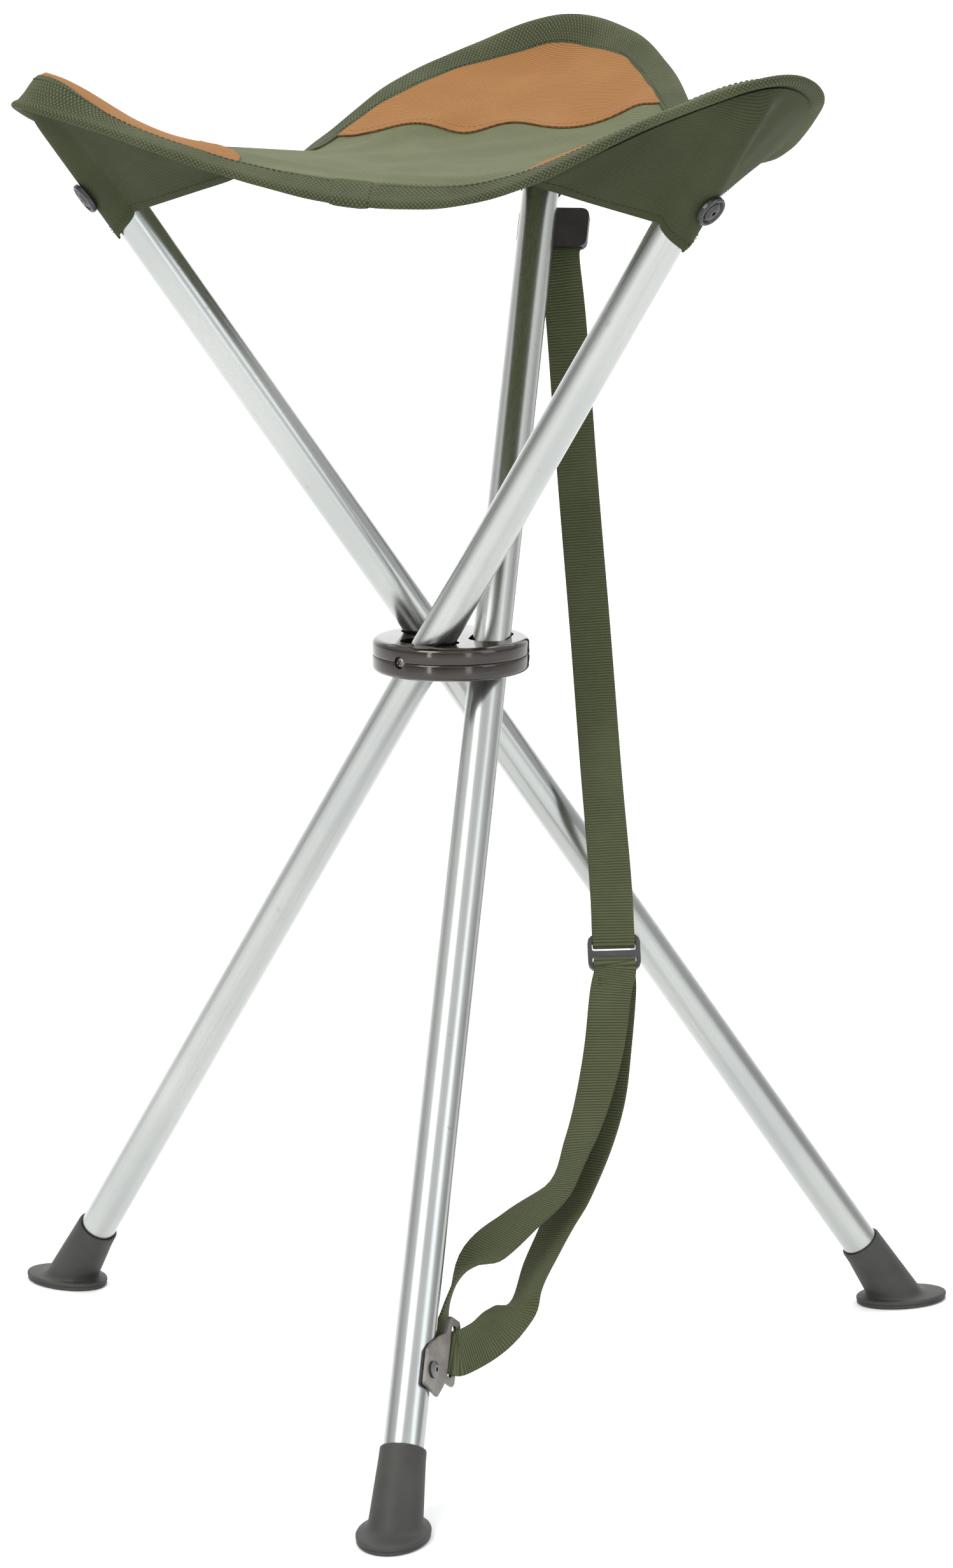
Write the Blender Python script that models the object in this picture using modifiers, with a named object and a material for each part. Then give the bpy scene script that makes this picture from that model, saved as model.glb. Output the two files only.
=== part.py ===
"""Three leg stool: three aluminium tubes crossing in a round hub, a canvas seat with corner
pockets over the leg tops, rubber feet and a webbing carry strap. Open, standing on the floor."""

import bmesh
import bpy
from math import atan2, cos, degrees, hypot, pi, radians, sin
from mathutils import Matrix, Vector

MM = 0.001

# Legs, in millimetres. Lean is from the vertical, stations run along the leg from its pivot.
TUBE_D = 19.0
TUBE_WALL = 1.5
LEAN = 35.1
PIVOT_RADIUS = 19.8
PIVOT_AZIMUTH = {"left": 109.3, "right": -130.7, "rear": -10.7}
HUB_HEIGHT = 370.0
TUBE_TOP = 334.0
TUBE_BOTTOM = -436.0
PLUG_TOP = 338.0
PLUG_DEPTH = 16.0

# Hub.
HUB_D = 78.8
HUB_T = 16.8
HUB_EDGE = 3.0
HUB_GAP = 0.3
SLOT_ACROSS = 20.2
SLOT_BACK = 12.0
SLOT_FRONT = 18.4
PIVOT_SCREW_D = 3.5
PIVOT_HEAD_D = 5.8
SLEEVE_D = 7.0
CLAMP_D = 4.0

# Feet.
PAD_LONG = 50.4
PAD_WIDE = 34.4
PAD_T = 4.0
CUP_TOP_D = 22.0
CUP_FOOT_D = 24.6
CUP_RIM = -410.0

# Seat cloth.
CANVAS_T = 1.4
SEAT_LEVEL = 243.0
SEAT_BOWL = 2.4
CORNER_REST = 287.4
CORNER_SPREAD = 40.0
TAPE_W = 12.5
TAPE_T = 0.9
GAP = 0.35
PATCH_T = 0.8
PATCH_GAP = 0.8
PATCH_FROM = {"left": 121.0, "right": 114.0, "rear": 97.0}
POCKET_T = 1.2
POCKET_REACH = 121.0
POCKET_HEM = 264.0
RIVET_STATION = 290.0

# Seat outline stations: azimuth, reach from the hub's axis, height over the hub, edge droop.
OUTLINE = (
    (193.5, 212, 275, 0),
    (206.6, 192, 268, 2),
    (223.4, 152, 248, 4),
    (253.5, 122, 232, 8),
    (287.8, 147, 247, 2),
    (303.3, 190, 277, 0),
    (318.8, 211, 291, 0),
    (329.5, 203, 279, 0),
    (335.0, 190, 269, 1),
    (358.0, 152, 245, 4),
    (384.0, 134, 264, 3),
    (408.5, 168, 285, 0),
    (420.4, 194, 299, 0),
    (433.5, 213, 306, 0),
    (446.5, 194, 290, 0),
    (460.0, 168, 272, 0),
    (474.0, 149, 249, 2),
    (493.5, 122, 236, 6),
    (515.0, 147, 243, 5),
    (540.5, 192, 262, 2),
)
SEAT_STATIONS = 72

# Carry strap, all of it on the rear leg.
WEB_W = 21.0
WEB_T = 1.5
SLIDER_W = 26.4
SLIDER_H = 18.6
SLIDER_T = 3.0
SLIDER_AT = (80.7, -22.0, -149.0)
FITTING_STATION = 252.0
BRACKET_STATION = -372.0
BRACKET_TURN = -17.0


def wipe():
    for obj in list(bpy.data.objects):
        bpy.data.objects.remove(obj)


def collection(name):
    made = bpy.data.collections.new(name)
    bpy.context.scene.collection.children.link(made)
    return made


wipe()
PARTS = collection("three_leg_stool")
CUTTERS = collection("cutters")
PALETTE = {
    "aluminium": ((0.74, 0.75, 0.74), 0.28, 1.0),
    "steel": ((0.55, 0.55, 0.56), 0.32, 1.0),
    "hub_plastic": ((0.035, 0.028, 0.022), 0.18, 0.0),
    "grey_plastic": ((0.07, 0.065, 0.07), 0.45, 0.0),
    "rubber": ((0.06, 0.065, 0.058), 0.7, 0.0),
    "canvas": ((0.10, 0.12, 0.065), 0.85, 0.0),
    "tape": ((0.07, 0.09, 0.05), 0.85, 0.0),
    "patch": ((0.45, 0.20, 0.07), 0.85, 0.0),
    "webbing": ((0.09, 0.105, 0.06), 0.85, 0.0),
}


def dress(obj, look):
    colour, rough, metal = PALETTE[look]
    mat = bpy.data.materials.new(obj.name)
    mat.use_nodes = True
    shader = mat.node_tree.nodes["Principled BSDF"]
    shader.inputs["Base Color"].default_value = (*colour, 1.0)
    shader.inputs["Roughness"].default_value = rough
    shader.inputs["Metallic"].default_value = metal
    mat.diffuse_color = (*colour, 1.0)
    obj.data.materials.clear()
    obj.data.materials.append(mat)


def add_mesh(name, points, faces, look=None, smooth=True, frame=None, home=None):
    """A mesh object from millimetre points in a frame; cutters have no look."""
    mesh = bpy.data.meshes.new(name)
    mesh.from_pydata([Vector(p) * MM for p in points], [], faces)
    grown = bmesh.new()
    grown.from_mesh(mesh)
    bmesh.ops.recalc_face_normals(grown, faces=grown.faces)
    for face in grown.faces:
        face.smooth = smooth
    grown.to_mesh(mesh)
    grown.free()
    obj = bpy.data.objects.new(name, mesh)
    (PARTS if look else CUTTERS).objects.link(obj)
    obj.matrix_world = frame if frame else WORLD
    if home:
        ride(obj, home)
    if look:
        dress(obj, look)
    else:
        obj.hide_render = True
        obj.display_type = "WIRE"
    return obj


def ride(obj, home):
    place = obj.matrix_world.copy()
    obj.parent = home
    obj.matrix_parent_inverse = home.matrix_world.inverted()
    obj.matrix_world = place


def boolean(obj, tool, kind="DIFFERENCE"):
    step = obj.modifiers.new(tool.name, "BOOLEAN")
    step.object = tool
    step.operation = kind
    step.solver = "EXACT"
    return step


def turned(name, profile, look, frame, home=None, steps=20):
    """A turned solid: the profile runs from the axis down the outer side, back to the axis."""
    obj = add_mesh(name, [(r, 0, z) for r, z in profile], [], look, True, frame, home)
    edges = [(i, i + 1) for i in range(len(profile) - 1)]
    closed = profile[0][0] > 0
    if closed:
        edges.append((len(profile) - 1, 0))
    obj.data.clear_geometry()
    obj.data.from_pydata([Vector((r, 0, z)) * MM for r, z in profile], edges, [])
    spin = obj.modifiers.new("turned", "SCREW")
    spin.angle = 2 * pi
    spin.steps = steps
    spin.render_steps = steps
    spin.use_merge_vertices = True
    spin.merge_threshold = 0.00001
    spin.use_smooth_shade = True
    return obj


def prism(name, outline, low, high, look=None, frame=None, home=None):
    """A flat outline in X and Y raised from low to high."""
    n = len(outline)
    points = [(x, y, low) for x, y in outline] + [(x, y, high) for x, y in outline]
    faces = [tuple(range(n))[::-1], tuple(range(n, 2 * n))]
    faces += [(i, (i + 1) % n, n + (i + 1) % n, n + i) for i in range(n)]
    return add_mesh(name, points, faces, look, False, frame, home)


def arc(cx, cy, radius, start, end, steps):
    turns = [radians(start + (end - start) * i / steps) for i in range(steps + 1)]
    return [(cx + radius * cos(a), cy + radius * sin(a)) for a in turns]


def rounded(width, height, radius, cx=0.0, cy=0.0, steps=3):
    x, y = width / 2 - radius, height / 2 - radius
    outline = []
    for sx, sy, start in ((1, 1, 0), (-1, 1, 90), (-1, -1, 180), (1, -1, 270)):
        outline += arc(cx + sx * x, cy + sy * y, radius, start, start + 90, steps)
    return outline


def bar_cutter(name, radius, low, high, frame, steps=16):
    return prism(name, arc(0, 0, radius, 0, 360 - 360 / steps, steps - 1), low, high, None, frame)


# Frames. The hub's axis stands where the whole stool is centred over the origin.
HUB_AT = Vector((-15.57, 38.74, HUB_HEIGHT))
WORLD = Matrix.Translation(HUB_AT * MM)


def columns(x, y, z, at):
    turn = Matrix((x, y, z)).transposed().to_4x4()
    return WORLD @ Matrix.Translation(Vector(at) * MM) @ turn


def leg_axes(side):
    """Pivot point, then the hinge axis, the outward side and the leg's own direction."""
    p = radians(PIVOT_AZIMUTH[side])
    out = Vector((cos(p), sin(p), 0))
    lean = Vector((-sin(p), cos(p), 0))
    tilt = radians(LEAN)
    up = Vector((0, 0, cos(tilt))) + lean * sin(tilt)
    outer = lean * cos(tilt) - Vector((0, 0, sin(tilt)))
    return out * PIVOT_RADIUS, out, outer, up


SIDES = ("left", "right", "rear")
LEG = {side: columns(*leg_axes(side)[1:], leg_axes(side)[0]) for side in SIDES}


def empty(name, frame):
    obj = bpy.data.objects.new(name, None)
    PARTS.objects.link(obj)
    obj.matrix_world = frame
    return obj


HOME = {side: empty(f"pivot_{side}", LEG[side]) for side in SIDES}
bpy.context.view_layer.update()


def about_x(frame, at):
    """A frame at a point of another, its Z along the other's X."""
    turn = Matrix(((0, 0, 1), (1, 0, 0), (0, 1, 0))).to_4x4()
    return frame @ Matrix.Translation(Vector(at) * MM) @ turn


def about_y(frame, at):
    """A frame at a point of another, its Z along the other's Y."""
    turn = Matrix(((0, 1, 0), (0, 0, 1), (1, 0, 0))).to_4x4()
    return frame @ Matrix.Translation(Vector(at) * MM) @ turn


# Legs with their plugs, feet and pivot sleeves.
def make_tube(side):
    r = TUBE_D / 2
    bore = r - TUBE_WALL
    ring = [(r, TUBE_TOP), (r, TUBE_BOTTOM), (bore, TUBE_BOTTOM), (bore, TUBE_TOP)]
    tube = turned(f"leg_tube_{side}", ring, "aluminium", LEG[side], HOME[side], 28)
    cross = bar_cutter(f"cut_pivot_{side}", SLEEVE_D / 2 + 0.2, -14, 14, about_x(LEG[side], (0, 0, 0)))
    boolean(tube, cross)
    hole = bar_cutter(f"cut_rivet_{side}", 2.3, 3, 14, about_y(LEG[side], (0, 0, RIVET_STATION)), 12)
    boolean(tube, hole)
    return tube


def make_plug(side):
    r = TUBE_D / 2
    inner = r - TUBE_WALL - 0.3
    low = TUBE_TOP + 0.2
    profile = [
        (0, PLUG_TOP),
        (r - 1.6, PLUG_TOP),
        (r - 0.3, PLUG_TOP - 1.2),
        (r - 0.3, low),
        (inner, low),
        (inner, TUBE_TOP - PLUG_DEPTH),
        (0, TUBE_TOP - PLUG_DEPTH),
    ]
    turned(f"leg_plug_{side}", profile, "grey_plastic", LEG[side], HOME[side], 20)


def make_foot(side):
    """An oval pad on the floor with a cup that is square to the leg."""
    at, out, outer, up = leg_axes(side)
    reach = HUB_HEIGHT / up.z
    lean = Vector((up.x, up.y, 0)).normalized()
    frame = columns(out, lean, Vector((0, 0, 1)), at - up * reach)
    n = 32
    rings = ((0.0, 1.2), (1.1, 0.0), (2.6, 0.0), (2.6, 1.0), (PAD_T, 2.2))
    points = []
    for z, inset in rings:
        for i in range(n):
            a = 2 * pi * i / n
            points.append(((PAD_WIDE / 2 - inset) * cos(a), (PAD_LONG / 2 - inset) * sin(a), z))
    faces = [tuple(range(n)), tuple(range(4 * n, 5 * n))]
    for ring in range(4):
        for i in range(n):
            j = (i + 1) % n
            faces.append((ring * n + i, ring * n + j, (ring + 1) * n + j, (ring + 1) * n + i))
    foot = add_mesh(f"foot_{side}", points, faces, "rubber", True, frame, HOME[side])
    tilt = radians(LEAN)
    cup = []
    for radius, station in ((CUP_FOOT_D / 2, None), (CUP_TOP_D / 2, CUP_RIM)):
        for i in range(28):
            a = 2 * pi * i / 28
            x = radius * cos(a)
            if station is None:
                cup.append((x, radius / cos(tilt) * sin(a) + 2 * sin(tilt) / cos(tilt), 2.0))
            else:
                along = station + reach
                cup.append(
                    (
                        x,
                        radius * sin(a) * cos(tilt) + along * sin(tilt),
                        -radius * sin(a) * sin(tilt) + along * cos(tilt),
                    )
                )
    sides = [(i, (i + 1) % 28, 28 + (i + 1) % 28, 28 + i) for i in range(28)]
    caps = [tuple(range(28)), tuple(range(28, 56))]
    boolean(foot, add_mesh(f"join_cup_{side}", cup, sides + caps, None, True, frame), "UNION")
    bore = bar_cutter(f"cut_cup_{side}", TUBE_D / 2 + 0.2, TUBE_BOTTOM - 0.4, CUP_RIM + 30, LEG[side], 28)
    boolean(foot, bore)


def make_sleeve(side):
    r, bore = SLEEVE_D / 2, PIVOT_SCREW_D / 2 + 0.25
    ring = [(r, 9.7), (r, -9.7), (bore, -9.7), (bore, 9.7)]
    turned(f"pivot_sleeve_{side}", ring, "grey_plastic", about_x(LEG[side], (0, 0, 0)), HOME[side], 16)


# Hub halves, their clamp screw and the pivot screws.
def make_hub_half(name, sign):
    r = HUB_D / 2
    top = HUB_T / 2
    e = HUB_EDGE
    bend = [(r - e + e * cos(a), top - e + e * sin(a)) for a in (pi / 2, pi / 3, pi / 6, 0)]
    profile = [(0, top)] + bend + [(r, HUB_GAP / 2), (0, HUB_GAP / 2)]
    if sign < 0:
        profile = [(x, -z) for x, z in reversed(profile)]
    half = turned(name, profile, "hub_plastic", WORLD, None, 48)
    for side in SIDES:
        flat = columns(leg_axes(side)[1], Vector((0, 0, 1)).cross(leg_axes(side)[1]),
                       Vector((0, 0, 1)), leg_axes(side)[0])
        ends = (SLOT_FRONT, -SLOT_BACK) if sign > 0 else (SLOT_BACK, -SLOT_FRONT)
        slot = rounded(SLOT_ACROSS, ends[0] - ends[1], 8.0, 0, (ends[0] + ends[1]) / 2, 4)
        boolean(half, prism(f"cut_slot_{side}_{name}", slot, -12, 12, None, flat))
        along = about_x(flat, (0, 0, 0))
        boolean(half, bar_cutter(f"cut_screw_{side}_{name}", PIVOT_SCREW_D / 2 + 0.2, -13.6, 30, along, 12))
        boolean(half, bar_cutter(f"cut_head_{side}_{name}", PIVOT_HEAD_D / 2 + 0.2, 17.2, 30, along, 16))
    if sign > 0:
        hexagon = arc(0, 0, 4.3, 0, 300, 5)
        boolean(half, prism("cut_nut", hexagon, 3.2, 12, None, WORLD))
        boolean(half, bar_cutter("cut_clamp_up", CLAMP_D / 2 + 0.2, -1, 12, WORLD, 12))
    else:
        boolean(half, bar_cutter("cut_clamp_head", 4.0, -12, -5.4, WORLD, 20))
        boolean(half, bar_cutter("cut_clamp_down", CLAMP_D / 2 + 0.2, -12, 1, WORLD, 12))
    return half


def cross_recess(name, frame, size, low):
    arms = [
        (size, 0.45), (0.45, 0.45), (0.45, size), (-0.45, size), (-0.45, 0.45), (-size, 0.45),
        (-size, -0.45), (-0.45, -0.45), (-0.45, -size), (0.45, -size), (0.45, -0.45), (size, -0.45),
    ]
    return prism(name, arms, low, low + 4, None, frame)


def make_pivot_screw(side):
    r = PIVOT_SCREW_D / 2
    head = PIVOT_HEAD_D / 2
    profile = [(0, 19.3), (1.6, 19.2), (head, 18.4), (head, 17.5), (r, 17.5), (r, -12.6), (0, -13.3)]
    frame = about_x(LEG[side], (0, 0, 0))
    screw = turned(f"pivot_screw_{side}", profile, "steel", frame, None, 16)
    boolean(screw, cross_recess(f"cut_cross_{side}", frame, 1.7, 18.3))


def make_clamp():
    shank = CLAMP_D / 2
    profile = [(0, 7.9), (shank, 7.9), (shank, -5.7), (3.7, -5.7), (3.7, -8.0), (0, -8.2)]
    screw = turned("hub_clamp_screw", profile, "steel", WORLD, None, 16)
    boolean(screw, prism("cut_hex", arc(0, 0, 1.9, 0, 300, 5), -12, -6.5, None, WORLD))
    nut = prism("hub_clamp_nut", arc(0, 0, 4.0, 0, 300, 5), 3.4, 6.8, "steel", WORLD)
    boolean(nut, bar_cutter("cut_nut_bore", CLAMP_D / 2 + 0.15, 0, 12, WORLD, 16))


# Seat cloth: one height field over the hub, with the canvas, patches, tape and pockets on it.
def outline_value(column, azimuth):
    """Smooth periodic reading of the outline table at an azimuth."""
    n = len(OUTLINE)
    first = OUTLINE[0][0]
    a = (azimuth - first) % 360 + first
    i = max(k for k in range(n) if OUTLINE[k][0] <= a)

    def station(k):
        turn, k = divmod(k, n)
        return OUTLINE[k][0] + 360 * turn, OUTLINE[k][column]

    (a0, v0), (a1, v1), (a2, v2), (a3, v3) = (station(i + k) for k in (-1, 0, 1, 2))
    h0, h1, h2 = a1 - a0, a2 - a1, a3 - a2
    s0, s1, s2 = (v1 - v0) / h0, (v2 - v1) / h1, (v3 - v2) / h2
    m1 = (s0 * h1 + s1 * h0) / (h0 + h1)
    m2 = (s1 * h2 + s2 * h1) / (h1 + h2)
    t = (a - a1) / h1
    near = (2 * t**3 - 3 * t**2 + 1) * v1 + (t**3 - 2 * t**2 + t) * h1 * m1
    return near + (3 * t**2 - 2 * t**3) * v2 + (t**3 - t**2) * h1 * m2


def leg_top(side):
    at, out, outer, up = leg_axes(side)
    return at + up * PLUG_TOP


def ease(t):
    t = min(max(t, 0.0), 1.0)
    return t * t * (3 - 2 * t)


def bowl(x, y):
    azimuth = degrees(atan2(y, x))
    q = hypot(x, y) / outline_value(1, azimuth)
    droop = outline_value(3, azimuth)
    rise = outline_value(2, azimuth) + droop - SEAT_LEVEL
    return SEAT_LEVEL + rise * q**SEAT_BOWL - droop * ease((q - 0.86) / 0.14) * min(1, q), q


PRESS = {side: CORNER_REST - bowl(leg_top(side).x, leg_top(side).y)[0] for side in SIDES}


def seat_height(x, y):
    """Height of the canvas middle over the hub; each leg top lifts the cloth to rest on it."""
    z, q = bowl(x, y)
    for side in SIDES:
        top = leg_top(side)
        near = ((x - top.x) ** 2 + (y - top.y) ** 2) / CORNER_SPREAD**2
        z += PRESS[side] * 2.718281828**-near * (1 - ease((q - 0.93) / 0.07))
    return z


def on_seat(x, y, offset=0.0):
    """A point on the cloth, pushed off it along its normal."""
    d = 1.0
    slope_x = (seat_height(x + d, y) - seat_height(x - d, y)) / (2 * d)
    slope_y = (seat_height(x, y + d) - seat_height(x, y - d)) / (2 * d)
    normal = Vector((-slope_x, -slope_y, 1)).normalized()
    return Vector((x, y, seat_height(x, y))) + normal * offset


def rim_point(azimuth):
    reach = outline_value(1, azimuth)
    return Vector((reach * cos(radians(azimuth)), reach * sin(radians(azimuth)), 0))


def inward(azimuth):
    run = rim_point(azimuth + 0.5) - rim_point(azimuth - 0.5)
    return Vector((-run.y, run.x, 0)).normalized()


def even_azimuths(count):
    """Azimuths that divide the outline into equal lengths."""
    fine = [OUTLINE[0][0] + 0.25 * i for i in range(1441)]
    lengths = [0.0]
    for a, b in zip(fine, fine[1:]):
        lengths.append(lengths[-1] + (rim_point(b) - rim_point(a)).length)
    found = []
    k = 0
    for i in range(count):
        want = lengths[-1] * i / count
        while lengths[k + 1] < want:
            k += 1
        share = (want - lengths[k]) / (lengths[k + 1] - lengths[k])
        found.append(fine[k] + share * 0.25)
    return found


STATIONS = even_azimuths(SEAT_STATIONS)


def band_point(azimuth, inset, offset):
    """A point of the edge band: inset in from the rim along the cloth, off it by offset."""
    rim, into = rim_point(azimuth), inward(azimuth)
    if inset >= 0:
        at = rim + into * inset
        return on_seat(at.x, at.y, offset)
    inner = rim + into * 1.5
    edge = on_seat(rim.x, rim.y, offset)
    run = (edge - on_seat(inner.x, inner.y, offset)).normalized()
    return edge - run * inset


def skin(rows, wrap_rows, wrap_columns):
    """Quads over a grid of point rows, as vertex numbers."""
    m = len(rows[0])
    faces = []
    for i in range(len(rows) if wrap_rows else len(rows) - 1):
        for j in range(m if wrap_columns else m - 1):
            a, b = i * m, (i + 1) % len(rows) * m
            k = (j + 1) % m
            faces.append((a + j, b + j, b + k, a + k))
    return faces


SPOKES = (0.93, 0.86, 0.78, 0.7, 0.6, 0.5, 0.4, 0.3, 0.2, 0.1)


def ray_plan(azimuth):
    """Plan points of one ray of the panel, from the rim to near the middle."""
    rim, into = rim_point(azimuth), inward(azimuth)
    taped = rim + into * TAPE_W
    return [rim, rim + into * 6, taped] + [taped * s for s in SPOKES]


def make_seat_panel():
    half = CANVAS_T / 2
    sheets = []
    for offset in (half, -half):
        for azimuth in STATIONS:
            sheets.append([on_seat(p.x, p.y, offset) for p in ray_plan(azimuth)])
    n, m = len(STATIONS), len(sheets[0])
    points = [p for row in sheets for p in row]
    top, bottom = sheets[:n], sheets[n:]
    faces = skin(top, True, False)
    faces += [tuple(n * m + v for v in reversed(f)) for f in skin(bottom, True, False)]
    for i in range(n):
        j = (i + 1) % n
        faces.append((i * m, (n + i) * m, (n + j) * m, j * m))
    points += [on_seat(0.01, 0.01, half), on_seat(0.01, 0.01, -half)]
    for i in range(n):
        j = (i + 1) % n
        faces.append((i * m + m - 1, j * m + m - 1, 2 * n * m))
        faces.append(((n + j) * m + m - 1, (n + i) * m + m - 1, 2 * n * m + 1))
    add_mesh("seat_panel", points, faces, "canvas")


def make_binding():
    inner = CANVAS_T / 2 + GAP
    outer = inner + TAPE_T
    edge = -GAP - TAPE_T
    section = [(TAPE_W, outer), (6, outer), (edge + 0.5, outer), (edge, outer - 0.6)]
    section += [(d, -h) for d, h in reversed(section)]
    section += [(TAPE_W, -inner), (6, -inner), (-GAP, -inner)]
    section += [(-GAP, inner), (6, inner), (TAPE_W, inner)]
    rows = [[band_point(a, d, h) for d, h in section] for a in STATIONS]
    add_mesh("edge_binding", [p for row in rows for p in row], skin(rows, True, True), "tape")


def corner_bearing(side):
    top = leg_top(side)
    return Vector((top.x, top.y, 0)).normalized()


def hem_ray(azimuth, bearing, hem):
    """A ray of the patch: the panel's own plan points, cut off at the hem line."""
    rim, into = rim_point(azimuth), inward(azimuth)
    plan = [rim + into * (TAPE_W + 0.8)] + ray_plan(azimuth)[3:]
    kept = [plan[0]]
    for a, b in zip(plan, plan[1:]):
        near, far = a.dot(bearing), b.dot(bearing)
        if far >= hem:
            kept.append(b)
        elif near > hem:
            kept.append(a.lerp(b, (near - hem) / (near - far)))
    return kept


def make_patch(side):
    """A corner facing inside the tape, with a straight hem across the seat."""
    bearing = corner_bearing(side)
    hem = PATCH_FROM[side]
    rays = []
    for k in range(2 * len(STATIONS)):
        azimuth = STATIONS[k % len(STATIONS)]
        first = rim_point(azimuth) + inward(azimuth) * (TAPE_W + 0.8)
        if first.dot(bearing) > hem + 2:
            rays.append((k, hem_ray(azimuth, bearing, hem)))
        elif rays and rays[-1][0] < k - 1 < rays[0][0] + len(STATIONS):
            break
    rays = longest_run(rays)
    low = CANVAS_T / 2 + PATCH_GAP
    span = max(len(ray) for ray in rays)
    points = []
    for offset in (low + PATCH_T, low):
        for ray in rays:
            padded = ray + [ray[-1]] * (span - len(ray))
            points += [on_seat(p.x, p.y, offset) for p in padded]
    n = len(rays)
    faces = skin([range(span)] * n, False, False)
    size = n * span
    faces += [tuple(size + v for v in reversed(f)) for f in faces]
    edge = list(range(span)) + [i * span + span - 1 for i in range(1, n)]
    edge += [(n - 1) * span + j for j in range(span - 2, -1, -1)]
    edge += [i * span for i in range(n - 2, 0, -1)]
    for v, w in zip(edge, edge[1:] + edge[:1]):
        faces.append((v, w, size + w, size + v))
    patch = add_mesh(f"corner_patch_{side}", points, faces, "patch")
    tidy(patch)


def longest_run(rays):
    """Neighbouring rays only, once round the outline."""
    runs = [[]]
    for k, ray in rays:
        if runs[-1] and k != runs[-1][-1][0] + 1:
            runs.append([])
        runs[-1].append((k, ray))
    return [ray for k, ray in max(runs, key=len)]


def tidy(obj):
    """Merge doubled points, which also drops the faces they had flattened."""
    grown = bmesh.new()
    grown.from_mesh(obj.data)
    bmesh.ops.remove_doubles(grown, verts=grown.verts, dist=0.00001)
    bmesh.ops.dissolve_degenerate(grown, edges=grown.edges, dist=0.00001)
    bmesh.ops.recalc_face_normals(grown, faces=grown.faces)
    grown.to_mesh(obj.data)
    grown.free()


def reach_azimuth(side, sign):
    """Where the pocket's seam stops along the outline, on one side of the corner."""
    bearing = corner_bearing(side)
    azimuth = degrees(atan2(bearing.y, bearing.x))
    while (rim_point(azimuth) + inward(azimuth) * 6).dot(bearing) > POCKET_REACH:
        azimuth += sign * 0.25
    return azimuth


def between_stations(azimuth, inset, offset):
    """A point of the band on the straight run between two stations of the outline."""
    first = STATIONS[0]
    a = (azimuth - first) % 360 + first
    i = max(k for k in range(len(STATIONS)) if STATIONS[k] <= a)
    ahead = STATIONS[i + 1] if i + 1 < len(STATIONS) else first + 360
    share = (a - STATIONS[i]) / (ahead - STATIONS[i])
    return band_point(STATIONS[i], inset, offset).lerp(band_point(ahead, inset, offset), share)


def pocket_rows(side, across, down):
    """Middle surface of a pocket: from its seam under the tape down to its hem on the leg."""
    at, out, outer, up = leg_axes(side)
    bearing = corner_bearing(side)
    centre = degrees(atan2(bearing.y, bearing.x))
    ends = {1: reach_azimuth(side, 1), -1: reach_azimuth(side, -1)}
    below = -(CANVAS_T / 2 + GAP + TAPE_T + GAP + 0.2 + POCKET_T / 2)
    rows = []
    for i in range(across + 1):
        u = 2 * i / across - 1
        side_of = 1 if u >= 0 else -1
        share = abs(u)
        azimuth = centre + (ends[side_of] - centre) * share**1.15
        seam = between_stations(azimuth, 3.5 + 5.5 * share, below)
        # The hem wraps the outer half of the tube, then runs straight to the seam's end.
        wrap = min(share / 0.3, 1.0)
        turn = radians(90 * wrap)
        radius = 11.3
        round_leg = at + up * (POCKET_HEM + 9 * wrap)
        hem = round_leg + (outer * cos(turn) - out * side_of * sin(turn)) * radius
        if share > 0.3:
            far = between_stations(ends[side_of], 9.0, below - 3.0)
            hem = hem.lerp(far, (share - 0.3) / 0.7)
        # Near the leg the cloth stands off the plug's edge before it runs down the tube.
        station = min(341.0, (seam - at).dot(up) - 10)
        shoulder = at + up * station + (outer * cos(turn) - out * side_of * sin(turn)) * 11.9
        shoulder = shoulder.lerp(seam.lerp(hem, 0.18), ease((share - 0.08) / 0.25))
        rows.append([seam] + [shoulder.lerp(hem, j / (down - 1)) for j in range(down)])
    return rows


def make_pocket(side):
    rows = pocket_rows(side, 28, 5)
    n, m = len(rows), len(rows[0])
    at, out, outer, up = leg_axes(side)
    normals = []
    for i in range(n):
        for j in range(m):
            a = rows[min(i + 1, n - 1)][j] - rows[max(i - 1, 0)][j]
            b = rows[i][min(j + 1, m - 1)] - rows[i][max(j - 1, 0)]
            normals.append(a.cross(b).normalized())
    flat = [p for row_points in rows for p in row_points]
    shells = [p + q * (POCKET_T / 2) for p, q in zip(flat, normals)]
    shells += [p - q * (POCKET_T / 2) for p, q in zip(flat, normals)]
    faces = skin(rows, False, False)
    size = n * m
    faces += [tuple(size + v for v in reversed(f)) for f in faces]
    edge = list(range(m))
    edge += [i * m + m - 1 for i in range(1, n)]
    edge += [(n - 1) * m + j for j in range(m - 2, -1, -1)]
    edge += [i * m for i in range(n - 2, 0, -1)]
    for k, v in enumerate(edge):
        w = edge[(k + 1) % len(edge)]
        faces.append((v, w, size + w, size + v))
    pocket = add_mesh(f"corner_pocket_{side}", shells, faces, "canvas", True, WORLD, HOME[side])
    frame = about_y(LEG[side], (0, 0, RIVET_STATION))
    boolean(pocket, bar_cutter(f"cut_eyelet_{side}", 2.6, 4, 22, frame, 12))


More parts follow.
